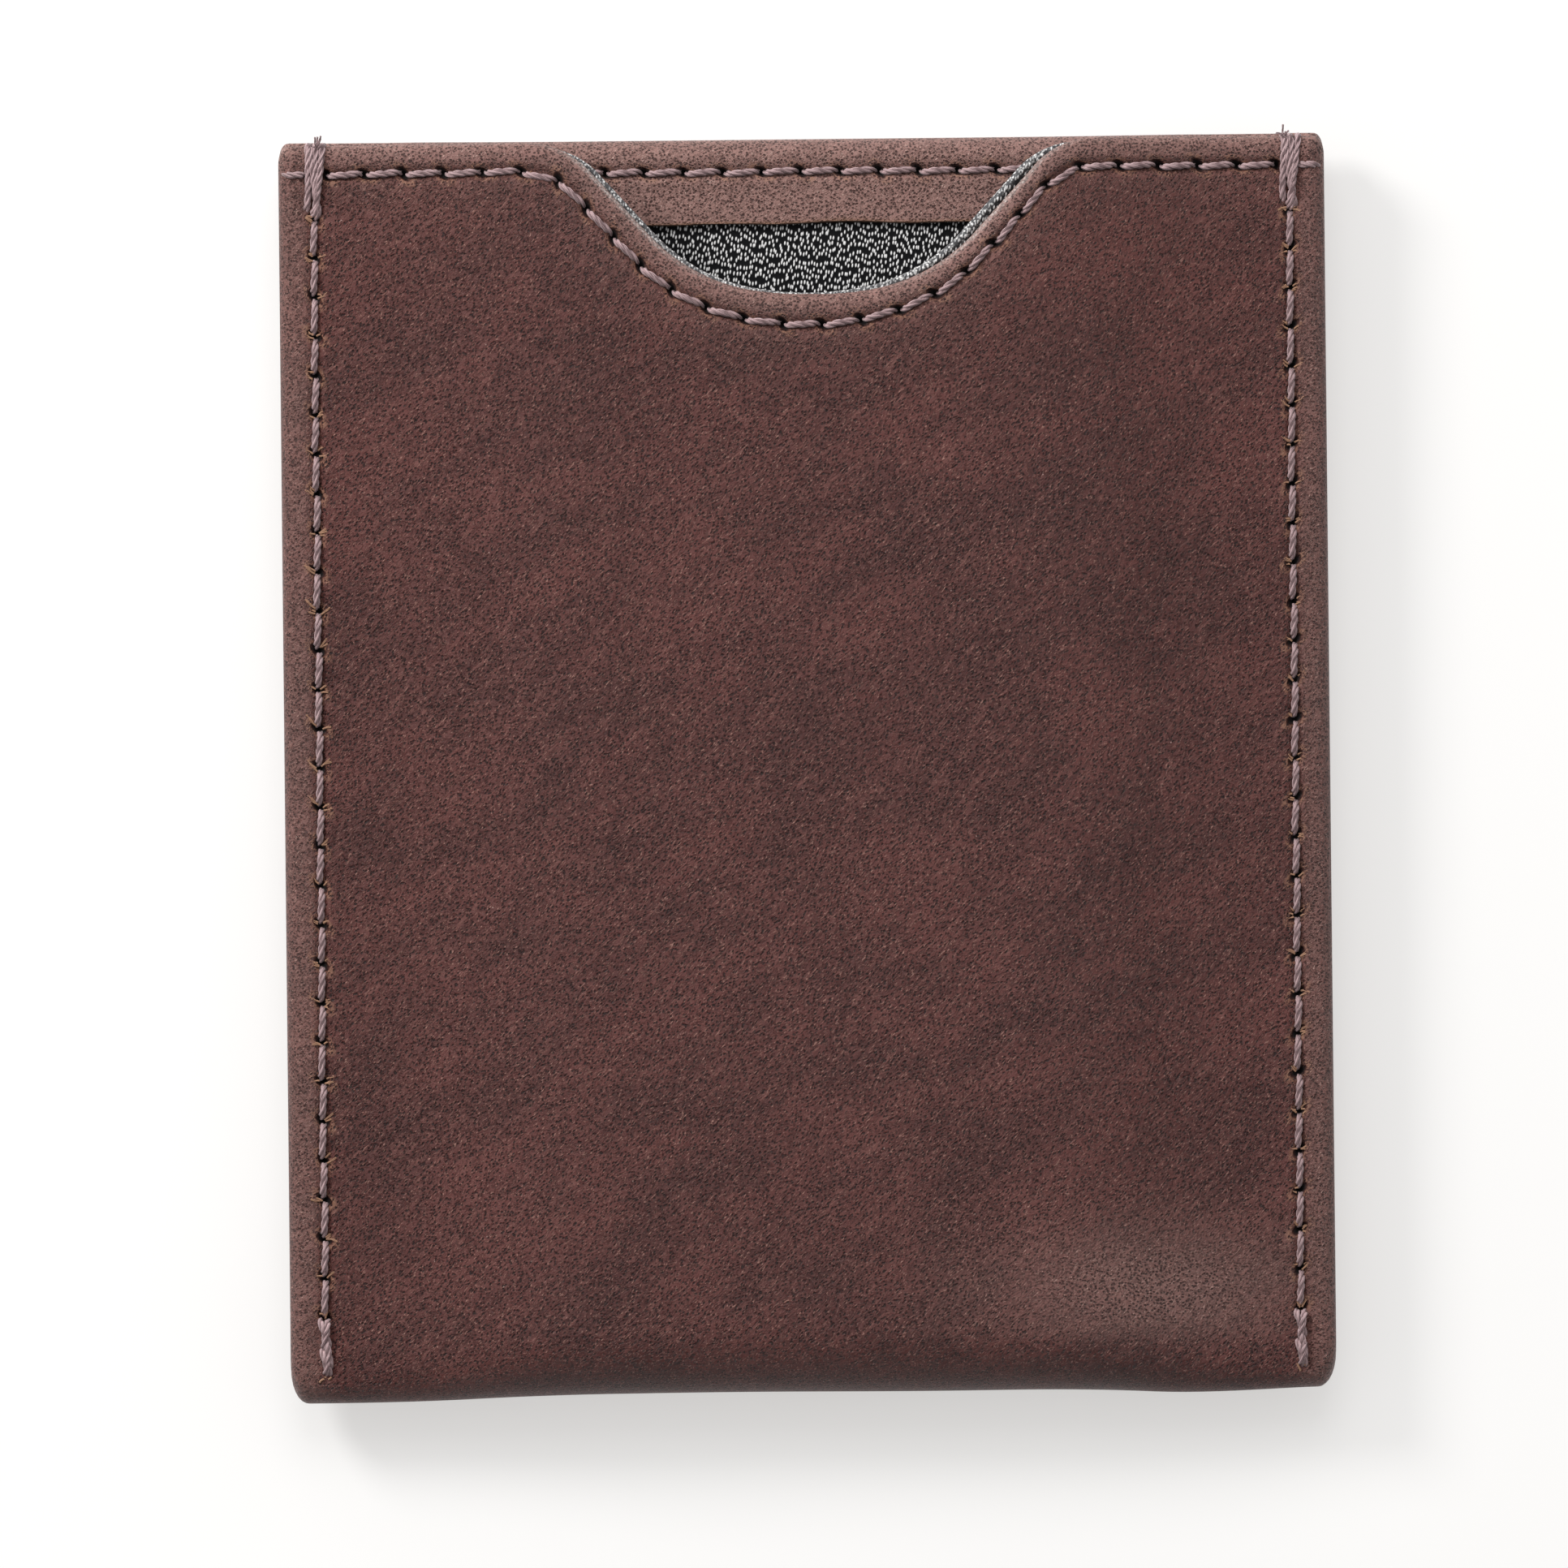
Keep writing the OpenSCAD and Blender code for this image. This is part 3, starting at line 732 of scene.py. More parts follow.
# ---- Back leather ------------------------------------------------------------------------
# Lower half of the same strip. Its mouth edge is turned to the inside as a hem, 6.5 mm deep,
# whose raw lower edge lies on the lining.
HEM_LENGTH = 6.5 * MM
HEM_HALF = 29 * MM
hem_end = round((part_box("hem_needle_thread")[1].x + stitch_gap / 2) / pitch) * pitch
HEM_STACK = 2.6 * MM
HEM_ROLL_R = 1.3 * MM
FEATHER_START = math.radians(22)
FEATHER_TIP = math.radians(31)
FEATHER_T = 0.12 * MM


def hem_depth(x, v):
    """Depth of the back leather's inner side: the whole stack in the hem, one layer elsewhere."""
    in_hem = inside(np.abs(x), 0, HEM_HALF, 3 * MM) * smooth((HEM_LENGTH - v) / (0.12 * MM) + 0.5)
    return leather_t + (HEM_STACK - leather_t) * in_hem


def back_leather(name, x_values, rows):
    s, v = np.meshgrid(x_values, rows)
    flat = place(-1, straight_lip, s, v, np.zeros_like(s))
    top_layer = inside(np.abs(s), 0, edge_x, 0.2 * MM)
    on_hem = inside(s, -hem_end, hem_end, 0.4 * MM)
    hem_row = stitch_relief(s, v - lip_inset) * on_hem
    sunk = (hem_row + 0.16 * MM * on_hem * bump(v - lip_inset, 0.3 * MM) + seam_relief(flat)) * top_layer
    wave = 0.12 * MM * np.sin(s / (2.1 * MM)) * np.sin(s / (5.3 * MM) + 1)
    thick = hem_depth(s, v + wave)
    puff = 0.16 * MM * np.sin(math.pi * np.clip(v / lip_inset, 0, 1)) ** 1.5
    hem_side = (hem_row - puff) * smooth((HEM_LENGTH - v) / MM)
    feather = smooth(((v - BODY_END) / FOLD_LENGTH * math.pi - FEATHER_START) / math.radians(1.5))
    thick = thick + (FEATHER_T - thick) * feather
    roll = np.where(np.abs(s) < edge_x, np.minimum(thick / 2, HEM_ROLL_R), LIP_ROLL_R)
    middle = thick / 2
    outer = place(-1, straight_lip, s, v, rounded_end(v, sunk, middle, roll))
    outer[..., 2] = np.maximum(outer[..., 2], 0)
    inner = place(-1, straight_lip, s, v, rounded_end(v, thick - hem_side, middle, roll))
    raw_edge = bump(v + wave - HEM_LENGTH, 0.13 * MM) * inside(np.abs(s), 0, HEM_HALF, MM)
    stretched = stretch_sheen_masks(flat, v, 1.0)
    none = np.zeros_like(s)
    hem_place = row_place(s, v - lip_inset, on_hem)
    masks = {"stretched": (stretched, np.maximum(stretched, 0.85)), "raw": (none, np.maximum(raw_edge, 0)),
             "mouth_row": (hem_place, hem_place),
             "seam_row": (seam_place(flat, top_layer), row_place(none, none, none))}
    return shell(name, outer, inner, brown_leather, masks)


def hem_rows(body_step):
    roll = HEM_ROLL_R * (1 - np.cos(np.linspace(0, math.pi / 2, 12)))
    band = np.arange(roll[-1] + 0.14 * MM, NEAR_LIP, 0.14 * MM)
    hem = np.concatenate([np.arange(NEAR_LIP, HEM_LENGTH - 0.3 * MM, 0.3 * MM),
                          HEM_LENGTH + np.linspace(-0.24, 0.24, 9) * MM])
    body = np.linspace(HEM_LENGTH + 0.5 * MM, BODY_END, int((BODY_END - HEM_LENGTH) / body_step))
    fold = BODY_END + np.linspace(0, FEATHER_TIP / math.pi, 12)[1:] * FOLD_LENGTH
    return np.concatenate([roll, band, hem, body, fold])


hole_columns = np.arange(-round(split_x / pitch * 12), round(split_x / pitch * 12) + 1) * pitch / 12
inner_columns = hole_columns[np.abs(hole_columns) < split_x - 0.05 * MM]
back_flat_x = np.concatenate([[-split_x], inner_columns, [split_x]])
back_middle = back_leather("back_leather_middle", back_flat_x, hem_rows(1.1 * MM))
back_left = back_leather("back_leather_left", -np.flip(side_x), hem_rows(pitch / 9))
back_right = back_leather("back_leather_right", side_x, hem_rows(pitch / 9))
for piece in (back_left, back_middle, back_right):
    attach(piece, "back")
    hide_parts("back_panel")


# ---- Linings and interlinings ------------------------------------------------------------
# Black coated lining, embossed with short raised bars whose near-white colour is painted highlight, glued
# over a thin fibre board. The front lining rolls over the lip behind the leather and shows as a narrow black
# bead, with a pale highlight painted along it.
BOARD_T = 1.5 * MM
WALL_T = 1.9 * MM
BEAD_R = 0.4 * MM
BEAD_DEPTH = 1.45 * MM
LAYER_PLAY = 0.01 * MM


def bars_group():
    """Short raised bars in staggered columns, by their width and length in millimetres."""
    group = bpy.data.node_groups.new("raised_bars", "ShaderNodeTree")
    for name in ("Bars", "Height"):
        group.interface.new_socket(name, in_out="OUTPUT", socket_type="NodeSocketFloat")
    leave = group.nodes.new("NodeGroupOutput")
    node = group.nodes.new("ShaderNodeTexVoronoi")
    node.voronoi_dimensions = "2D"
    node.inputs["Scale"].default_value = 1.0
    node.inputs["Randomness"].default_value = 0.8
    group.links.new(stirred(group, scaled_place(group, 8, 0.54, 0.235), 0.35, 0.35), node.inputs["Vector"])
    bars = maths(group, "SUBTRACT", 1.0, ramp(group, node.outputs["Distance"], 0.14, 0.37))
    height = maths(group, "SUBTRACT", 1.0, ramp(group, node.outputs["Distance"], 0.05, 0.60))
    group.links.new(bars, leave.inputs["Bars"])
    group.links.new(height, leave.inputs["Height"])
    return group


def lining_material():
    material, tree, shader = new_material("black_lining")
    bars = tree.nodes.new("ShaderNodeGroup")
    bars.node_tree = bars_group()
    # Painted highlights: the raised bars are coloured near white, for the glints of light on their glossy
    # tops.
    colour = mixed(tree, bars.outputs["Bars"], (0.004, 0.004, 0.005, 1), (0.82, 0.81, 0.81, 1))
    # Painted highlight: where the lining rolls over the lip, the bars give way to a pale beaded colour, the
    # highlight of its glossy roll.
    beads = one_minus(tree, ramp(tree, cells(tree, scaled_place(tree, 0, 0.24, 0.24)), 0.15, 0.55))
    sheen = mixed(tree, beads, (0.10, 0.10, 0.105, 1), (0.85, 0.84, 0.83, 1))
    colour = mixed(tree, attribute(tree, "rolled"), colour, sheen)
    tree.links.new(colour, shader.inputs["Base Color"])
    rough = maths(tree, "SUBTRACT", 0.62, maths(tree, "MULTIPLY", bars.outputs["Bars"], 0.38))
    tree.links.new(rough, shader.inputs["Roughness"])
    gloss = maths(tree, "MULTIPLY_ADD", bars.outputs["Bars"], 0.5, 0.12)
    tree.links.new(gloss, shader.inputs["Specular IOR Level"])
    add_relief(tree, shader, bars.outputs["Height"], 0.8, 0.08 * MM)
    return material


def board_material():
    material, tree, shader = new_material("fibre_board")
    place_node = tree.nodes.new("ShaderNodeTexCoord")
    fibres = noise(tree, place_node.outputs["Object"], 2500.0, 4.0, 0.7)
    colour = mixed(tree, fibres, (0.30, 0.22, 0.15, 1), (0.42, 0.33, 0.24, 1))
    tree.links.new(colour, shader.inputs["Base Color"])
    shader.inputs["Roughness"].default_value = 0.85
    return material


black_lining = lining_material()
fibre_board = board_material()


def inner_layer(name, face, outline, s_values, rows, top, bottom, material, bead=False):
    """Flat layer between two depths, with a bead along its lip if it rolls over there."""
    s, v = np.meshgrid(s_values, rows)
    middle = np.full_like(s, (top + bottom) / 2)
    half = np.full_like(s, (bottom - top) / 2)
    if bead:
        past_bead = smooth((v - BEAD_R) / (0.9 * MM))
        middle = BEAD_DEPTH + (middle - BEAD_DEPTH) * past_bead
        half = BEAD_R + (half - BEAD_R) * past_bead
        half = half * np.sqrt(1 - np.clip(1 - v / BEAD_R, 0, 1) ** 2)
        hidden = np.interp(np.abs(s), lip_bends, np.array([0.04, 0.02, 0.0, 0.0, 0.6]) * MM)
        v = v + hidden * (1 - smooth(v / NEAR_LIP))
    # Mask of the painted highlight on the rolled bead.
    rolled = 0.85 * np.exp(-(v / (0.5 * MM)) ** 2) if bead else np.zeros_like(s)
    outer, inner = (place(face, outline, s, v, middle + way * half) for way in (-1, 1))
    return shell(name, outer, inner, material, {"rolled": (rolled, rolled)})


FRONT_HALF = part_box("front_lining")[1].x
FRONT_END = half_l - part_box("front_lining")[0].y
bead_rows = BEAD_R * (1 - np.cos(np.linspace(0, math.pi / 2, 7)))
layer_rows = np.linspace(NEAR_LIP, FRONT_END, 40)
lining_rows = np.concatenate([bead_rows, np.arange(0.5, 4.3, 0.35) * MM, layer_rows])
board_rows = np.concatenate([[1.7 * MM, 3 * MM], layer_rows])
layer_x = np.linspace(split_x, FRONT_HALF, 20)

front_layers = {
    "front_lining_middle": (middle_s[::2], lining_rows, BOARD_T, WALL_T, black_lining, 0),
    "front_lining_left": (s_at_x(-np.flip(layer_x)), lining_rows, BOARD_T, WALL_T, black_lining, -1),
    "front_lining_right": (s_at_x(layer_x), lining_rows, BOARD_T, WALL_T, black_lining, 1),
    "front_board_middle": (middle_s[::3], board_rows, leather_t, BOARD_T, fibre_board, 0),
    "front_board_left": (s_at_x(-np.flip(layer_x)), board_rows, leather_t, BOARD_T, fibre_board, -1),
    "front_board_right": (s_at_x(layer_x), board_rows, leather_t, BOARD_T, fibre_board, 1),
}
for name, (s_values, rows, top, bottom, material, side) in front_layers.items():
    is_lining = material is black_lining
    if side == 0 and s_values[-1] != middle_s[-1]:
        s_values = np.concatenate([s_values, middle_s[-1:]])
    piece = inner_layer(name, 1, notched_lip, s_values, rows, top + LAYER_PLAY, bottom - LAYER_PLAY,
                        material, is_lining)
    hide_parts("front_lining" if is_lining else "front_interlining")
    if side:
        bend_side(piece)
    else:
        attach(piece, "front")

back_x = np.linspace(-slope_end, slope_end, 90)
back_rows = np.concatenate([np.linspace(HEM_LENGTH - 0.05 * MM, BODY_END, 40),
                            BODY_END + np.linspace(0.02, 0.95, 24) * FOLD_LENGTH])
# The board stops where the fold begins, clear of the front leather that turns there.
back_board_rows = back_rows[back_rows < BODY_END + 0.07 * FOLD_LENGTH]
back_layers = {"back_lining_sheet": (back_rows, BOARD_T, WALL_T, black_lining, "back_lining", "lining"),
               "back_board": (back_board_rows, leather_t, BOARD_T, fibre_board, "back_interlining",
                              "interlining")}
for name, (rows, top, bottom, material, node, slot) in back_layers.items():
    piece = inner_layer(name, -1, straight_lip, back_x, rows, top + LAYER_PLAY, bottom - LAYER_PLAY,
                        material)
    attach(piece, "back")
    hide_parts(node)


# ---- Sewing thread -----------------------------------------------------------------------
# Three-ply polyester thread, 0.6 mm thick, sewn in lockstitch at 3 mm: needle thread on the
# seen face and bobbin thread on the other.
PLY_R = 0.14 * MM


def thread_material():
    material, tree, shader = new_material("brown_thread")
    place_node = tree.nodes.new("ShaderNodeAttribute")
    place_node.attribute_name = "fibre"
    fibres = noise(tree, place_node.outputs["Vector"], 1.0, 3.0, 0.7)
    # From dark to pale along the plies: partly the thread's own fibres, partly painted highlights.
    colour = mixed(tree, ramp(tree, fibres, 0.36, 0.68), (0.085, 0.042, 0.045, 1), (0.60, 0.42, 0.43, 1))
    tree.links.new(colour, shader.inputs["Base Color"])
    shader.inputs["Roughness"].default_value = 0.6
    shader.inputs["Sheen Weight"].default_value = 0.25
    add_relief(tree, shader, fibres, 0.7, 0.04 * MM)
    return material


def named_value(tree, geometry, name, value, kind="FLOAT"):
    node = tree.nodes.new("GeometryNodeStoreNamedAttribute")
    node.data_type = kind
    node.inputs["Name"].default_value = name
    tree.links.new(geometry, node.inputs["Geometry"])
    tree.links.new(value, next(s for s in node.inputs if s.name == "Value" and s.enabled))
    return node.outputs["Geometry"]


def read_value(tree, name):
    node = tree.nodes.new("GeometryNodeInputNamedAttribute")
    node.data_type = "FLOAT"
    node.inputs["Name"].default_value = name
    return next(s for s in node.outputs if s.name == "Attribute" and s.enabled)


def thread_tree(plies=3):
    """Geometry nodes that twist plies round every edge path of a mesh."""
    tree = bpy.data.node_groups.new("twisted_thread", "GeometryNodeTree")
    tree.interface.new_socket("Paths", in_out="INPUT", socket_type="NodeSocketGeometry")
    for name, default in (("Ply radius", PLY_R), ("Ply offset", 0.145 * MM), ("Lay length", 2.3 * MM),
                          ("Step", 0.17 * MM)):
        socket = tree.interface.new_socket(name, in_out="INPUT", socket_type="NodeSocketFloat")
        socket.default_value = default
    tree.interface.new_socket("Thread", in_out="INPUT", socket_type="NodeSocketMaterial")
    tree.interface.new_socket("Geometry", in_out="OUTPUT", socket_type="NodeSocketGeometry")
    nodes, links = tree.nodes, tree.links
    entry = nodes.new("NodeGroupInput")
    leave = nodes.new("NodeGroupOutput")
    to_curve = nodes.new("GeometryNodeMeshToCurve")
    rounded = nodes.new("GeometryNodeCurveSplineType")
    rounded.spline_type = "CATMULL_ROM"
    even = nodes.new("GeometryNodeResampleCurve")
    even.mode = "LENGTH"
    links.new(entry.outputs["Paths"], to_curve.inputs["Mesh"])
    links.new(to_curve.outputs["Curve"], rounded.inputs["Curve"])
    links.new(rounded.outputs["Curve"], even.inputs["Curve"])
    links.new(entry.outputs["Step"], even.inputs["Length"])
    along = nodes.new("GeometryNodeSplineParameter")
    normal = nodes.new("GeometryNodeInputNormal")
    tangent = nodes.new("GeometryNodeInputTangent")
    second = nodes.new("ShaderNodeVectorMath")
    second.operation = "CROSS_PRODUCT"
    links.new(tangent.outputs["Tangent"], second.inputs[0])
    links.new(normal.outputs["Normal"], second.inputs[1])
    profile = nodes.new("GeometryNodeCurvePrimitiveCircle")
    profile.inputs["Resolution"].default_value = 5
    links.new(entry.outputs["Ply radius"], profile.inputs["Radius"])
    ring = named_value(tree, profile.outputs["Curve"], "around",
                       maths(tree, "MULTIPLY", along.outputs["Factor"], 9.0))
    lays = maths(tree, "DIVIDE", along.outputs["Length"], entry.outputs["Lay length"])
    turns = maths(tree, "MULTIPLY", lays, 2 * math.pi)
    joined = nodes.new("GeometryNodeJoinGeometry")
    for ply in range(plies):
        angle = maths(tree, "ADD", turns, 2 * math.pi * ply / plies)
        shift = None
        for axis, wave in ((normal.outputs["Normal"], "COSINE"), (second.outputs["Vector"], "SINE")):
            part = nodes.new("ShaderNodeVectorMath")
            part.operation = "SCALE"
            links.new(axis, part.inputs[0])
            links.new(maths(tree, "MULTIPLY", maths(tree, wave, angle), entry.outputs["Ply offset"]),
                      part.inputs["Scale"])
            if shift is None:
                shift = part.outputs["Vector"]
            else:
                both = nodes.new("ShaderNodeVectorMath")
                links.new(shift, both.inputs[0])
                links.new(part.outputs["Vector"], both.inputs[1])
                shift = both.outputs["Vector"]
        moved = nodes.new("GeometryNodeSetPosition")
        links.new(even.outputs["Curve"], moved.inputs["Geometry"])
        links.new(shift, moved.inputs["Offset"])
        marked = named_value(tree, moved.outputs["Geometry"], "along",
                             maths(tree, "MULTIPLY", along.outputs["Length"], 900.0))
        swept = nodes.new("GeometryNodeCurveToMesh")
        swept.inputs["Fill Caps"].default_value = True
        links.new(marked, swept.inputs["Curve"])
        links.new(ring, swept.inputs["Profile Curve"])
        fibre = nodes.new("ShaderNodeCombineXYZ")
        links.new(read_value(tree, "along"), fibre.inputs["X"])
        links.new(read_value(tree, "around"), fibre.inputs["Y"])
        fibre.inputs["Z"].default_value = 7.0 * ply
        links.new(named_value(tree, swept.outputs["Mesh"], "fibre", fibre.outputs["Vector"], "FLOAT_VECTOR"),
                  joined.inputs["Geometry"])
    realized = nodes.new("GeometryNodeRealizeInstances")
    finished = nodes.new("GeometryNodeSetMaterial")
    links.new(joined.outputs["Geometry"], realized.inputs["Geometry"])
    links.new(realized.outputs["Geometry"], finished.inputs["Geometry"])
    links.new(entry.outputs["Thread"], finished.inputs["Material"])
    links.new(finished.outputs["Geometry"], leave.inputs["Geometry"])
    return tree


brown_thread = thread_material()
twisted_thread = thread_tree()


def thread_piece(name, paths, material, sizes=None):
    """Plain mesh of twisted thread along paths, each an array of points, in sizes that differ
    from the usual ones."""
    points = np.concatenate(paths)
    starts = np.cumsum([0] + [len(path) for path in paths])
    edges = [(i, i + 1) for a, b in zip(starts[:-1], starts[1:]) for i in range(a, b - 1)]
    mesh = bpy.data.meshes.new(name + "_paths")
    mesh.from_pydata(points.tolist(), edges, [])
    source = bpy.data.objects.new(name + "_paths", mesh)
    bpy.context.scene.collection.objects.link(source)
    modifier = source.modifiers.new("thread", "NODES")
    modifier.node_group = twisted_thread
    values = {"Thread": material, **(sizes or {})}
    for item in twisted_thread.interface.items_tree:
        if item.in_out == "INPUT" and item.name in values:
            modifier[item.identifier] = values[item.name]
    bpy.context.view_layer.update()
    done = bpy.data.meshes.new_from_object(source.evaluated_get(bpy.context.evaluated_depsgraph_get()))
    done.name = name
    done.shade_smooth()
    bpy.data.objects.remove(source)
    piece = bpy.data.objects.new(name, done)
    bpy.context.scene.collection.objects.link(piece)
    return piece


draw = np.random.default_rng(21)


def stitch_path(a, b, up, slant=0.13 * MM, lift=0.0):
    """Centreline of one stitch, out of the hole at a, over the leather and into the hole at b."""
    run = (b - a) / np.linalg.norm(b - a)
    side = np.cross(run, up)
    shares = np.array([0.09, 0.15, 0.21, 0.34, 0.55, 0.72, 0.82, 0.89])
    heights = np.array([-0.5, -0.2, 0.03, 0.12, 0.10, 0.02, -0.2, -0.5]) * MM + lift
    across = slant * (1 - 2 * shares) + draw.uniform(-0.05, 0.05) * MM + draw.uniform(-0.02, 0.02, 8) * MM
    heights = heights + draw.uniform(-0.04, 0.03) * MM
    return a + np.outer(shares, b - a) + np.outer(heights, up) + np.outer(across, side)


def row_of_stitches(holes, ups, **shape):
    spans = zip(holes, holes[1:], ups, ups[1:])
    return [stitch_path(a, b, (up_a + up_b) / 2, **shape) for a, b, up_a, up_b in spans]


def mouth_holes(depth):
    """Needle holes of the mouth row on the grain side, or at a depth on the lining."""
    s = s_on_row(mouth_start + np.arange(mouth_count + 1) * pitch, lip_inset)
    return place(1, notched_lip, s, np.full_like(s, lip_inset), np.full_like(s, depth))


def mouth_ups(holes, face):
    """Directions straight out of the wall, which leans where it slopes to the seams."""
    x = holes[:, 0]
    lean = (half_height(x + 0.1 * MM) - half_height(x - 0.1 * MM)) / (0.2 * MM)
    up = np.stack([-lean, np.zeros_like(x), np.ones_like(x)], -1) * face
    return up / np.linalg.norm(up, axis=1)[:, None]


for layer, depth, face in (("needle", 0.0, 1), ("bobbin", WALL_T, -1)):
    holes = mouth_holes(depth)
    paths = row_of_stitches(holes, mouth_ups(holes, face), lift=0.0 if face > 0 else 0.11 * MM)
    centres = np.array([path[3][0] for path in paths])
    groups = {-1: centres < -split_x, 0: np.abs(centres) <= split_x, 1: centres > split_x}
    for side, chosen in groups.items():
        label = {-1: "left", 0: "middle", 1: "right"}[side]
        here = [path for path, is_here in zip(paths, chosen) if is_here]
        piece = thread_piece(f"mouth_{layer}_stitches_{label}", here, brown_thread)
        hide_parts(f"mouth_{layer}_thread")
        if side:
            bend_side(piece)
        else:
            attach(piece, "front")


def still_thread(name, paths, node, sizes=None):
    piece = thread_piece(name, paths, brown_thread, sizes)
    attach(piece, "back")
    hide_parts(node)


UP = np.array([0.0, 0.0, 1.0])
hem_x = np.arange(-hem_end, hem_end + pitch / 2, pitch)
for layer, depth, face in (("needle", HEM_STACK, 1), ("bobbin", 0.0, -1)):
    holes = place(-1, straight_lip, hem_x, np.full_like(hem_x, lip_inset), np.full_like(hem_x, depth))
    paths = row_of_stitches(holes, np.tile(UP * face, (len(hem_x), 1)), lift=0.0 if face > 0 else -0.33 * MM)
    still_thread(f"hem_{layer}_stitches", paths, f"hem_{layer}_thread")

seam_y = seam_start_y + np.arange(seam_count + 1) * pitch
for side, label in ((-1, "left"), (1, "right")):
    for layer, face in (("needle", 1), ("bobbin", -1)):
        holes = np.stack([np.full_like(seam_y, side * seam_x), seam_y,
                          np.full_like(seam_y, mid_z + face * half_seam)], -1)
        paths = row_of_stitches(holes, np.tile(UP * face, (len(seam_y), 1)), slant=-0.10 * MM)
        still_thread(f"{label}_seam_{layer}_stitches", paths, f"{label}_seam_{layer}_thread")


# ---- Bar tacks and edge loops ------------------------------------------------------------
# Each seam ends in a bar tack of four or five strands sewn over one another. At the mouth they
# pass over the end of the seam, and the mouth row's last stitch loops round the side edge.
FRAY = {"Ply radius": 0.035 * MM, "Ply offset": 0.05 * MM, "Step": 0.1 * MM}


def frayed_end(root):
    """Loose fibres of a cut thread, curling up and outwards from its end."""
    fibres = []
    for turn in np.radians(draw.uniform(30, 150, 7)):
        out = np.array([math.cos(turn), math.sin(turn), draw.uniform(0.2, 0.9)])
        bend = draw.uniform(-0.5, 0.5, 3)
        t = np.linspace(0, 1, 6)[:, None]
        length = draw.uniform(0.35, 0.75) * MM
        fibres.append(root + length * (t * out + t ** 2 * bend) + draw.uniform(-0.12, 0.12, 3) * MM)
    return fibres


# Each strand of a low tack: sideways start and end, lengths below the seam where they lie, and
# how high it lies on the others, all in millimetres.
LOW_STRANDS = ((-0.38, 0.30, 0.0, 2.5, 0.02), (0.36, -0.26, 0.1, 2.7, 0.12), (-0.30, 0.26, 2.3, 4.7, 0.04),
               (0.34, -0.12, 2.4, 4.6, 0.10), (0.02, 0.34, 1.4, 4.2, 0.0))

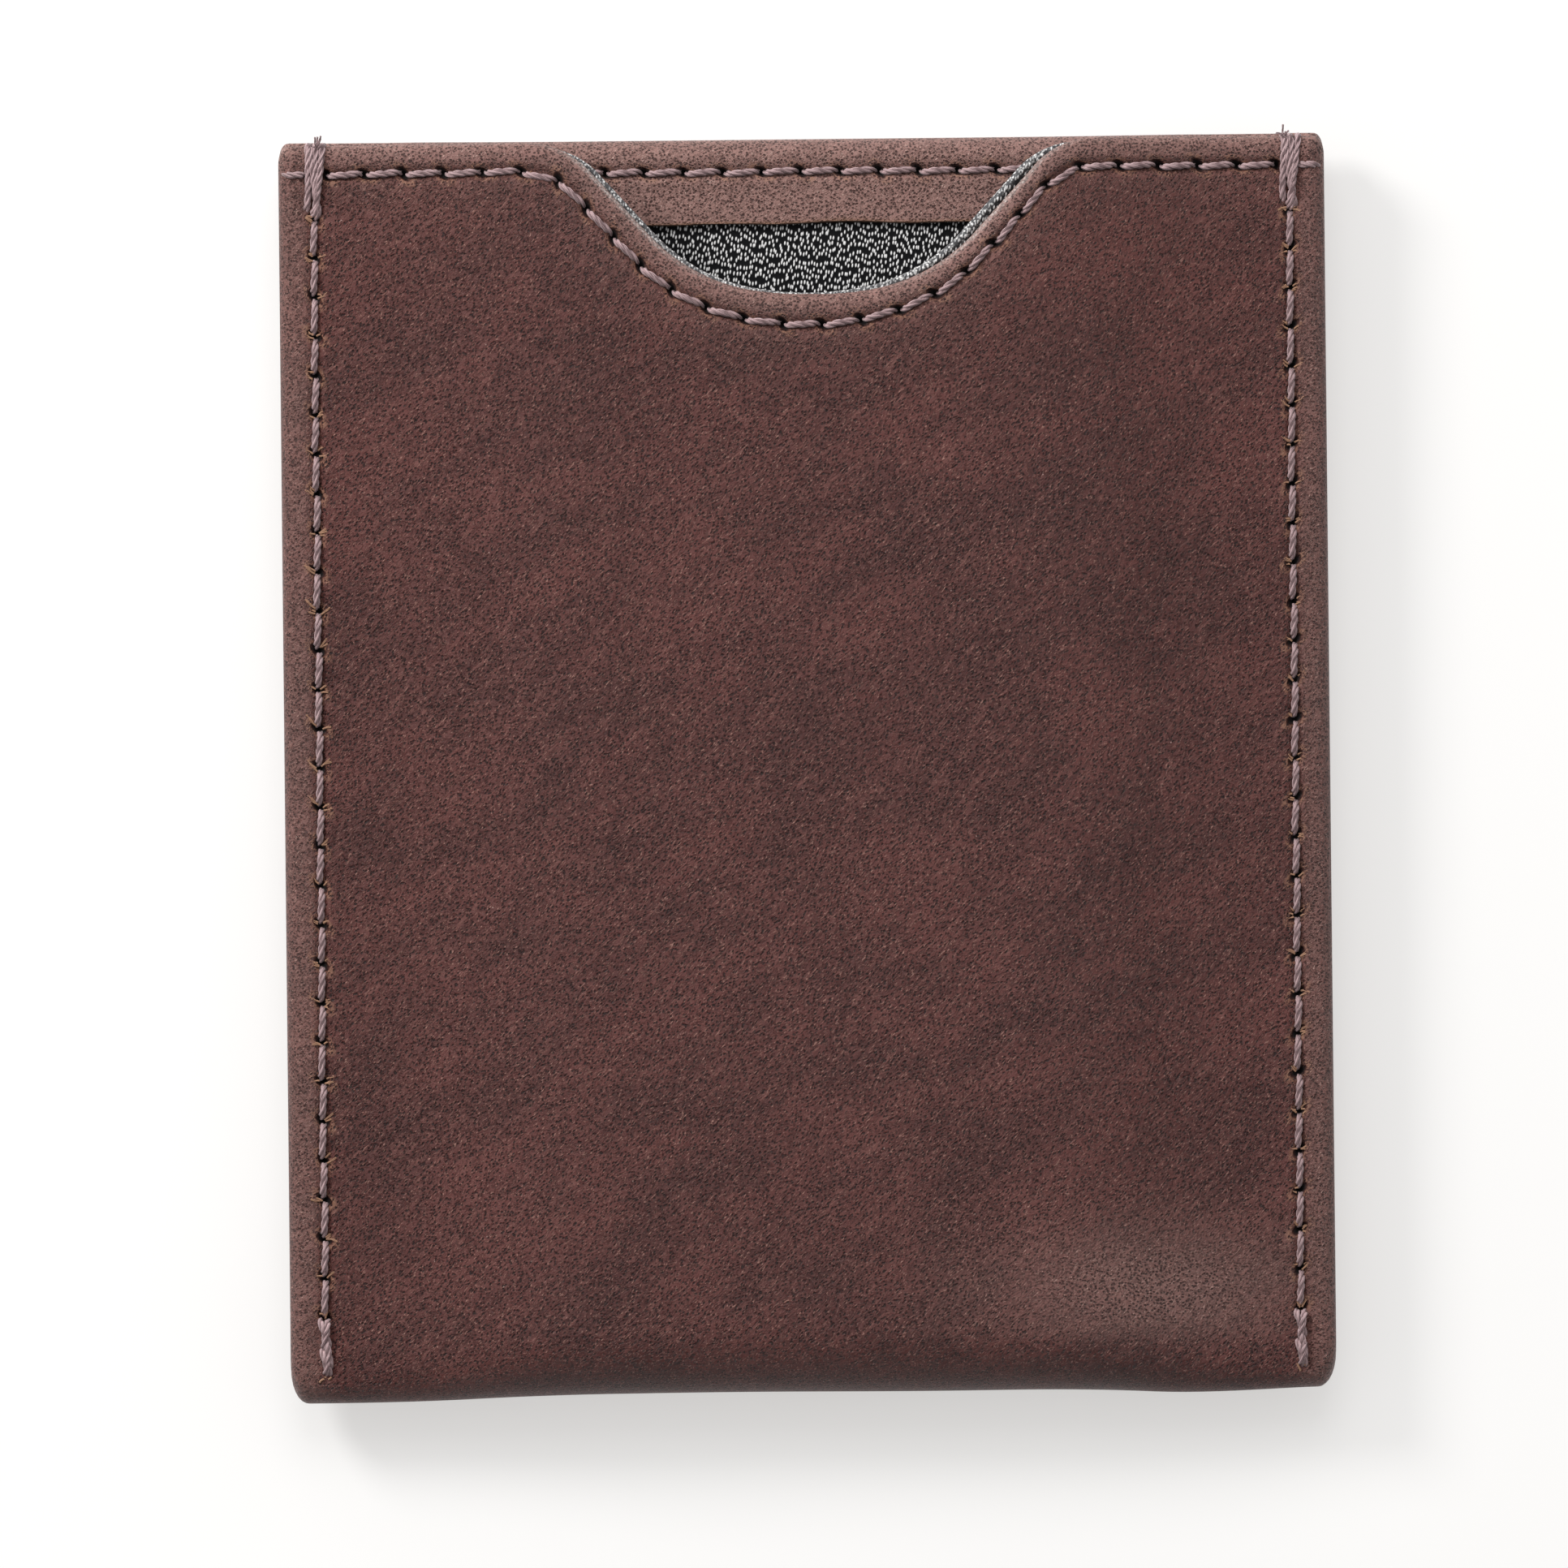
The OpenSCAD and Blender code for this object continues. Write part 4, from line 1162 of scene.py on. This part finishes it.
surface_high, surface_low = mid_z + half_seam, mid_z - half_seam
end = half_l - 0.3 * MM
for side, label in ((-1, "left"), (1, "right")):
    over_end = []
    for i, cross in ((-1, 0.24), (0, -0.42), (1, 0.36), (0.4, -0.1)):
        start = seam_end_y + (0.3 + 0.4 * abs(i - 0.5)) * MM
        ys = np.array([start - 0.3 * MM, start, start + 0.5 * MM, (start + end) / 2,
                       end - 0.5 * MM, end - 0.05 * MM])
        lift = np.array([-0.5, -0.1, 0.04, 0.10 + 0.05 * i, 0.02, -0.45]) * MM
        xs = side * seam_x + (i * 0.44 * np.array([0.6, 0.7, 0.8, 1, 1.15, 1.2])
                              + cross * np.array([-1, -0.9, -0.6, 0, 0.5, 0.6])) * MM
        xs = xs + draw.uniform(-0.05, 0.05, 6) * MM
        zs = np.concatenate([surface_high + lift, [mid_z], surface_low - lift[::-1]])
        xs = np.concatenate([xs, xs[-1:], xs[::-1]])
        ys = np.concatenate([ys, [end], ys[::-1]])
        over_end.append(np.stack([xs, ys, zs], -1))
    still_thread(f"top_{label}_tack_strands", over_end, f"top_{label}_tack")
    root = np.array([side * seam_x - side * 0.3 * MM, end - 0.1 * MM, surface_high])
    still_thread(f"top_{label}_tack_frayed_end", frayed_end(root), f"top_{label}_tack", FRAY)

    low_strands = []
    for start, stop, low, high, layer in LOW_STRANDS:
        for face in (1, -1):
            a = np.array([side * seam_x + start * MM, seam_start_y - low * MM, mid_z + face * half_seam])
            b = np.array([side * seam_x + stop * MM, seam_start_y - high * MM, mid_z + face * half_seam])
            low_strands.append(stitch_path(a, b, UP * face, slant=0.1 * MM, lift=layer * MM))
    still_thread(f"bottom_{label}_tack_strands", low_strands, f"bottom_{label}_tack")

    loop_y = half_l - lip_inset
    inner_x, outer_x = seam_x + 0.95 * MM, half_w - 0.32 * MM
    xs = np.array([inner_x - 0.2 * MM, inner_x, (inner_x + outer_x) / 2, outer_x - 0.45 * MM,
                   outer_x - 0.05 * MM])
    xs = np.concatenate([xs, [outer_x], xs[::-1]])
    lift = np.array([-0.45, 0.0, 0.08, -0.1, -0.7]) * MM
    zs = np.concatenate([surface_high + lift, [mid_z], surface_low - lift[::-1]])
    loop = np.stack([side * xs, np.full_like(xs, loop_y), zs], -1)
    still_thread(f"{label}_edge_loop_strand", [loop], f"{label}_edge_loop")


# ---- Torn leather fibres -----------------------------------------------------------------
# Where the needle went through the side seams, it tore loose a few short tan leather fibres.
def fibre_material():
    material, tree, shader = new_material("tan_leather_fibre")
    shader.inputs["Base Color"].default_value = (0.36, 0.20, 0.125, 1)
    shader.inputs["Roughness"].default_value = 0.75
    return material


tan_fibre = fibre_material()
for side, label in ((-1, "left"), (1, "right")):
    torn = []
    for y in np.append(seam_y, seam_start_y - 4.7 * MM):
        for _ in range(draw.integers(2, 6)):
            away = draw.choice((-1, 1)) if y > seam_start_y else draw.uniform(-1, 1)
            root_x = side * seam_x + away * draw.uniform(0.1, 0.3) * MM
            root_y = y + draw.uniform(-0.3, 0.3) * MM
            root = np.array([root_x, root_y, surface_high - 0.12 * MM])
            reach = draw.uniform(0.25, 0.75) * MM
            out = np.array([away, draw.uniform(-0.2, 1.1), 0.28])
            t = np.linspace(0, 1, 5)[:, None]
            torn.append(root + reach * (t * out + t ** 2 * np.array([0, draw.uniform(-0.4, 0.4), -0.12])))
    piece = thread_piece(f"{label}_seam_torn_fibres", torn, tan_fibre, FRAY)
    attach(piece, "back")
    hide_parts("back_panel")
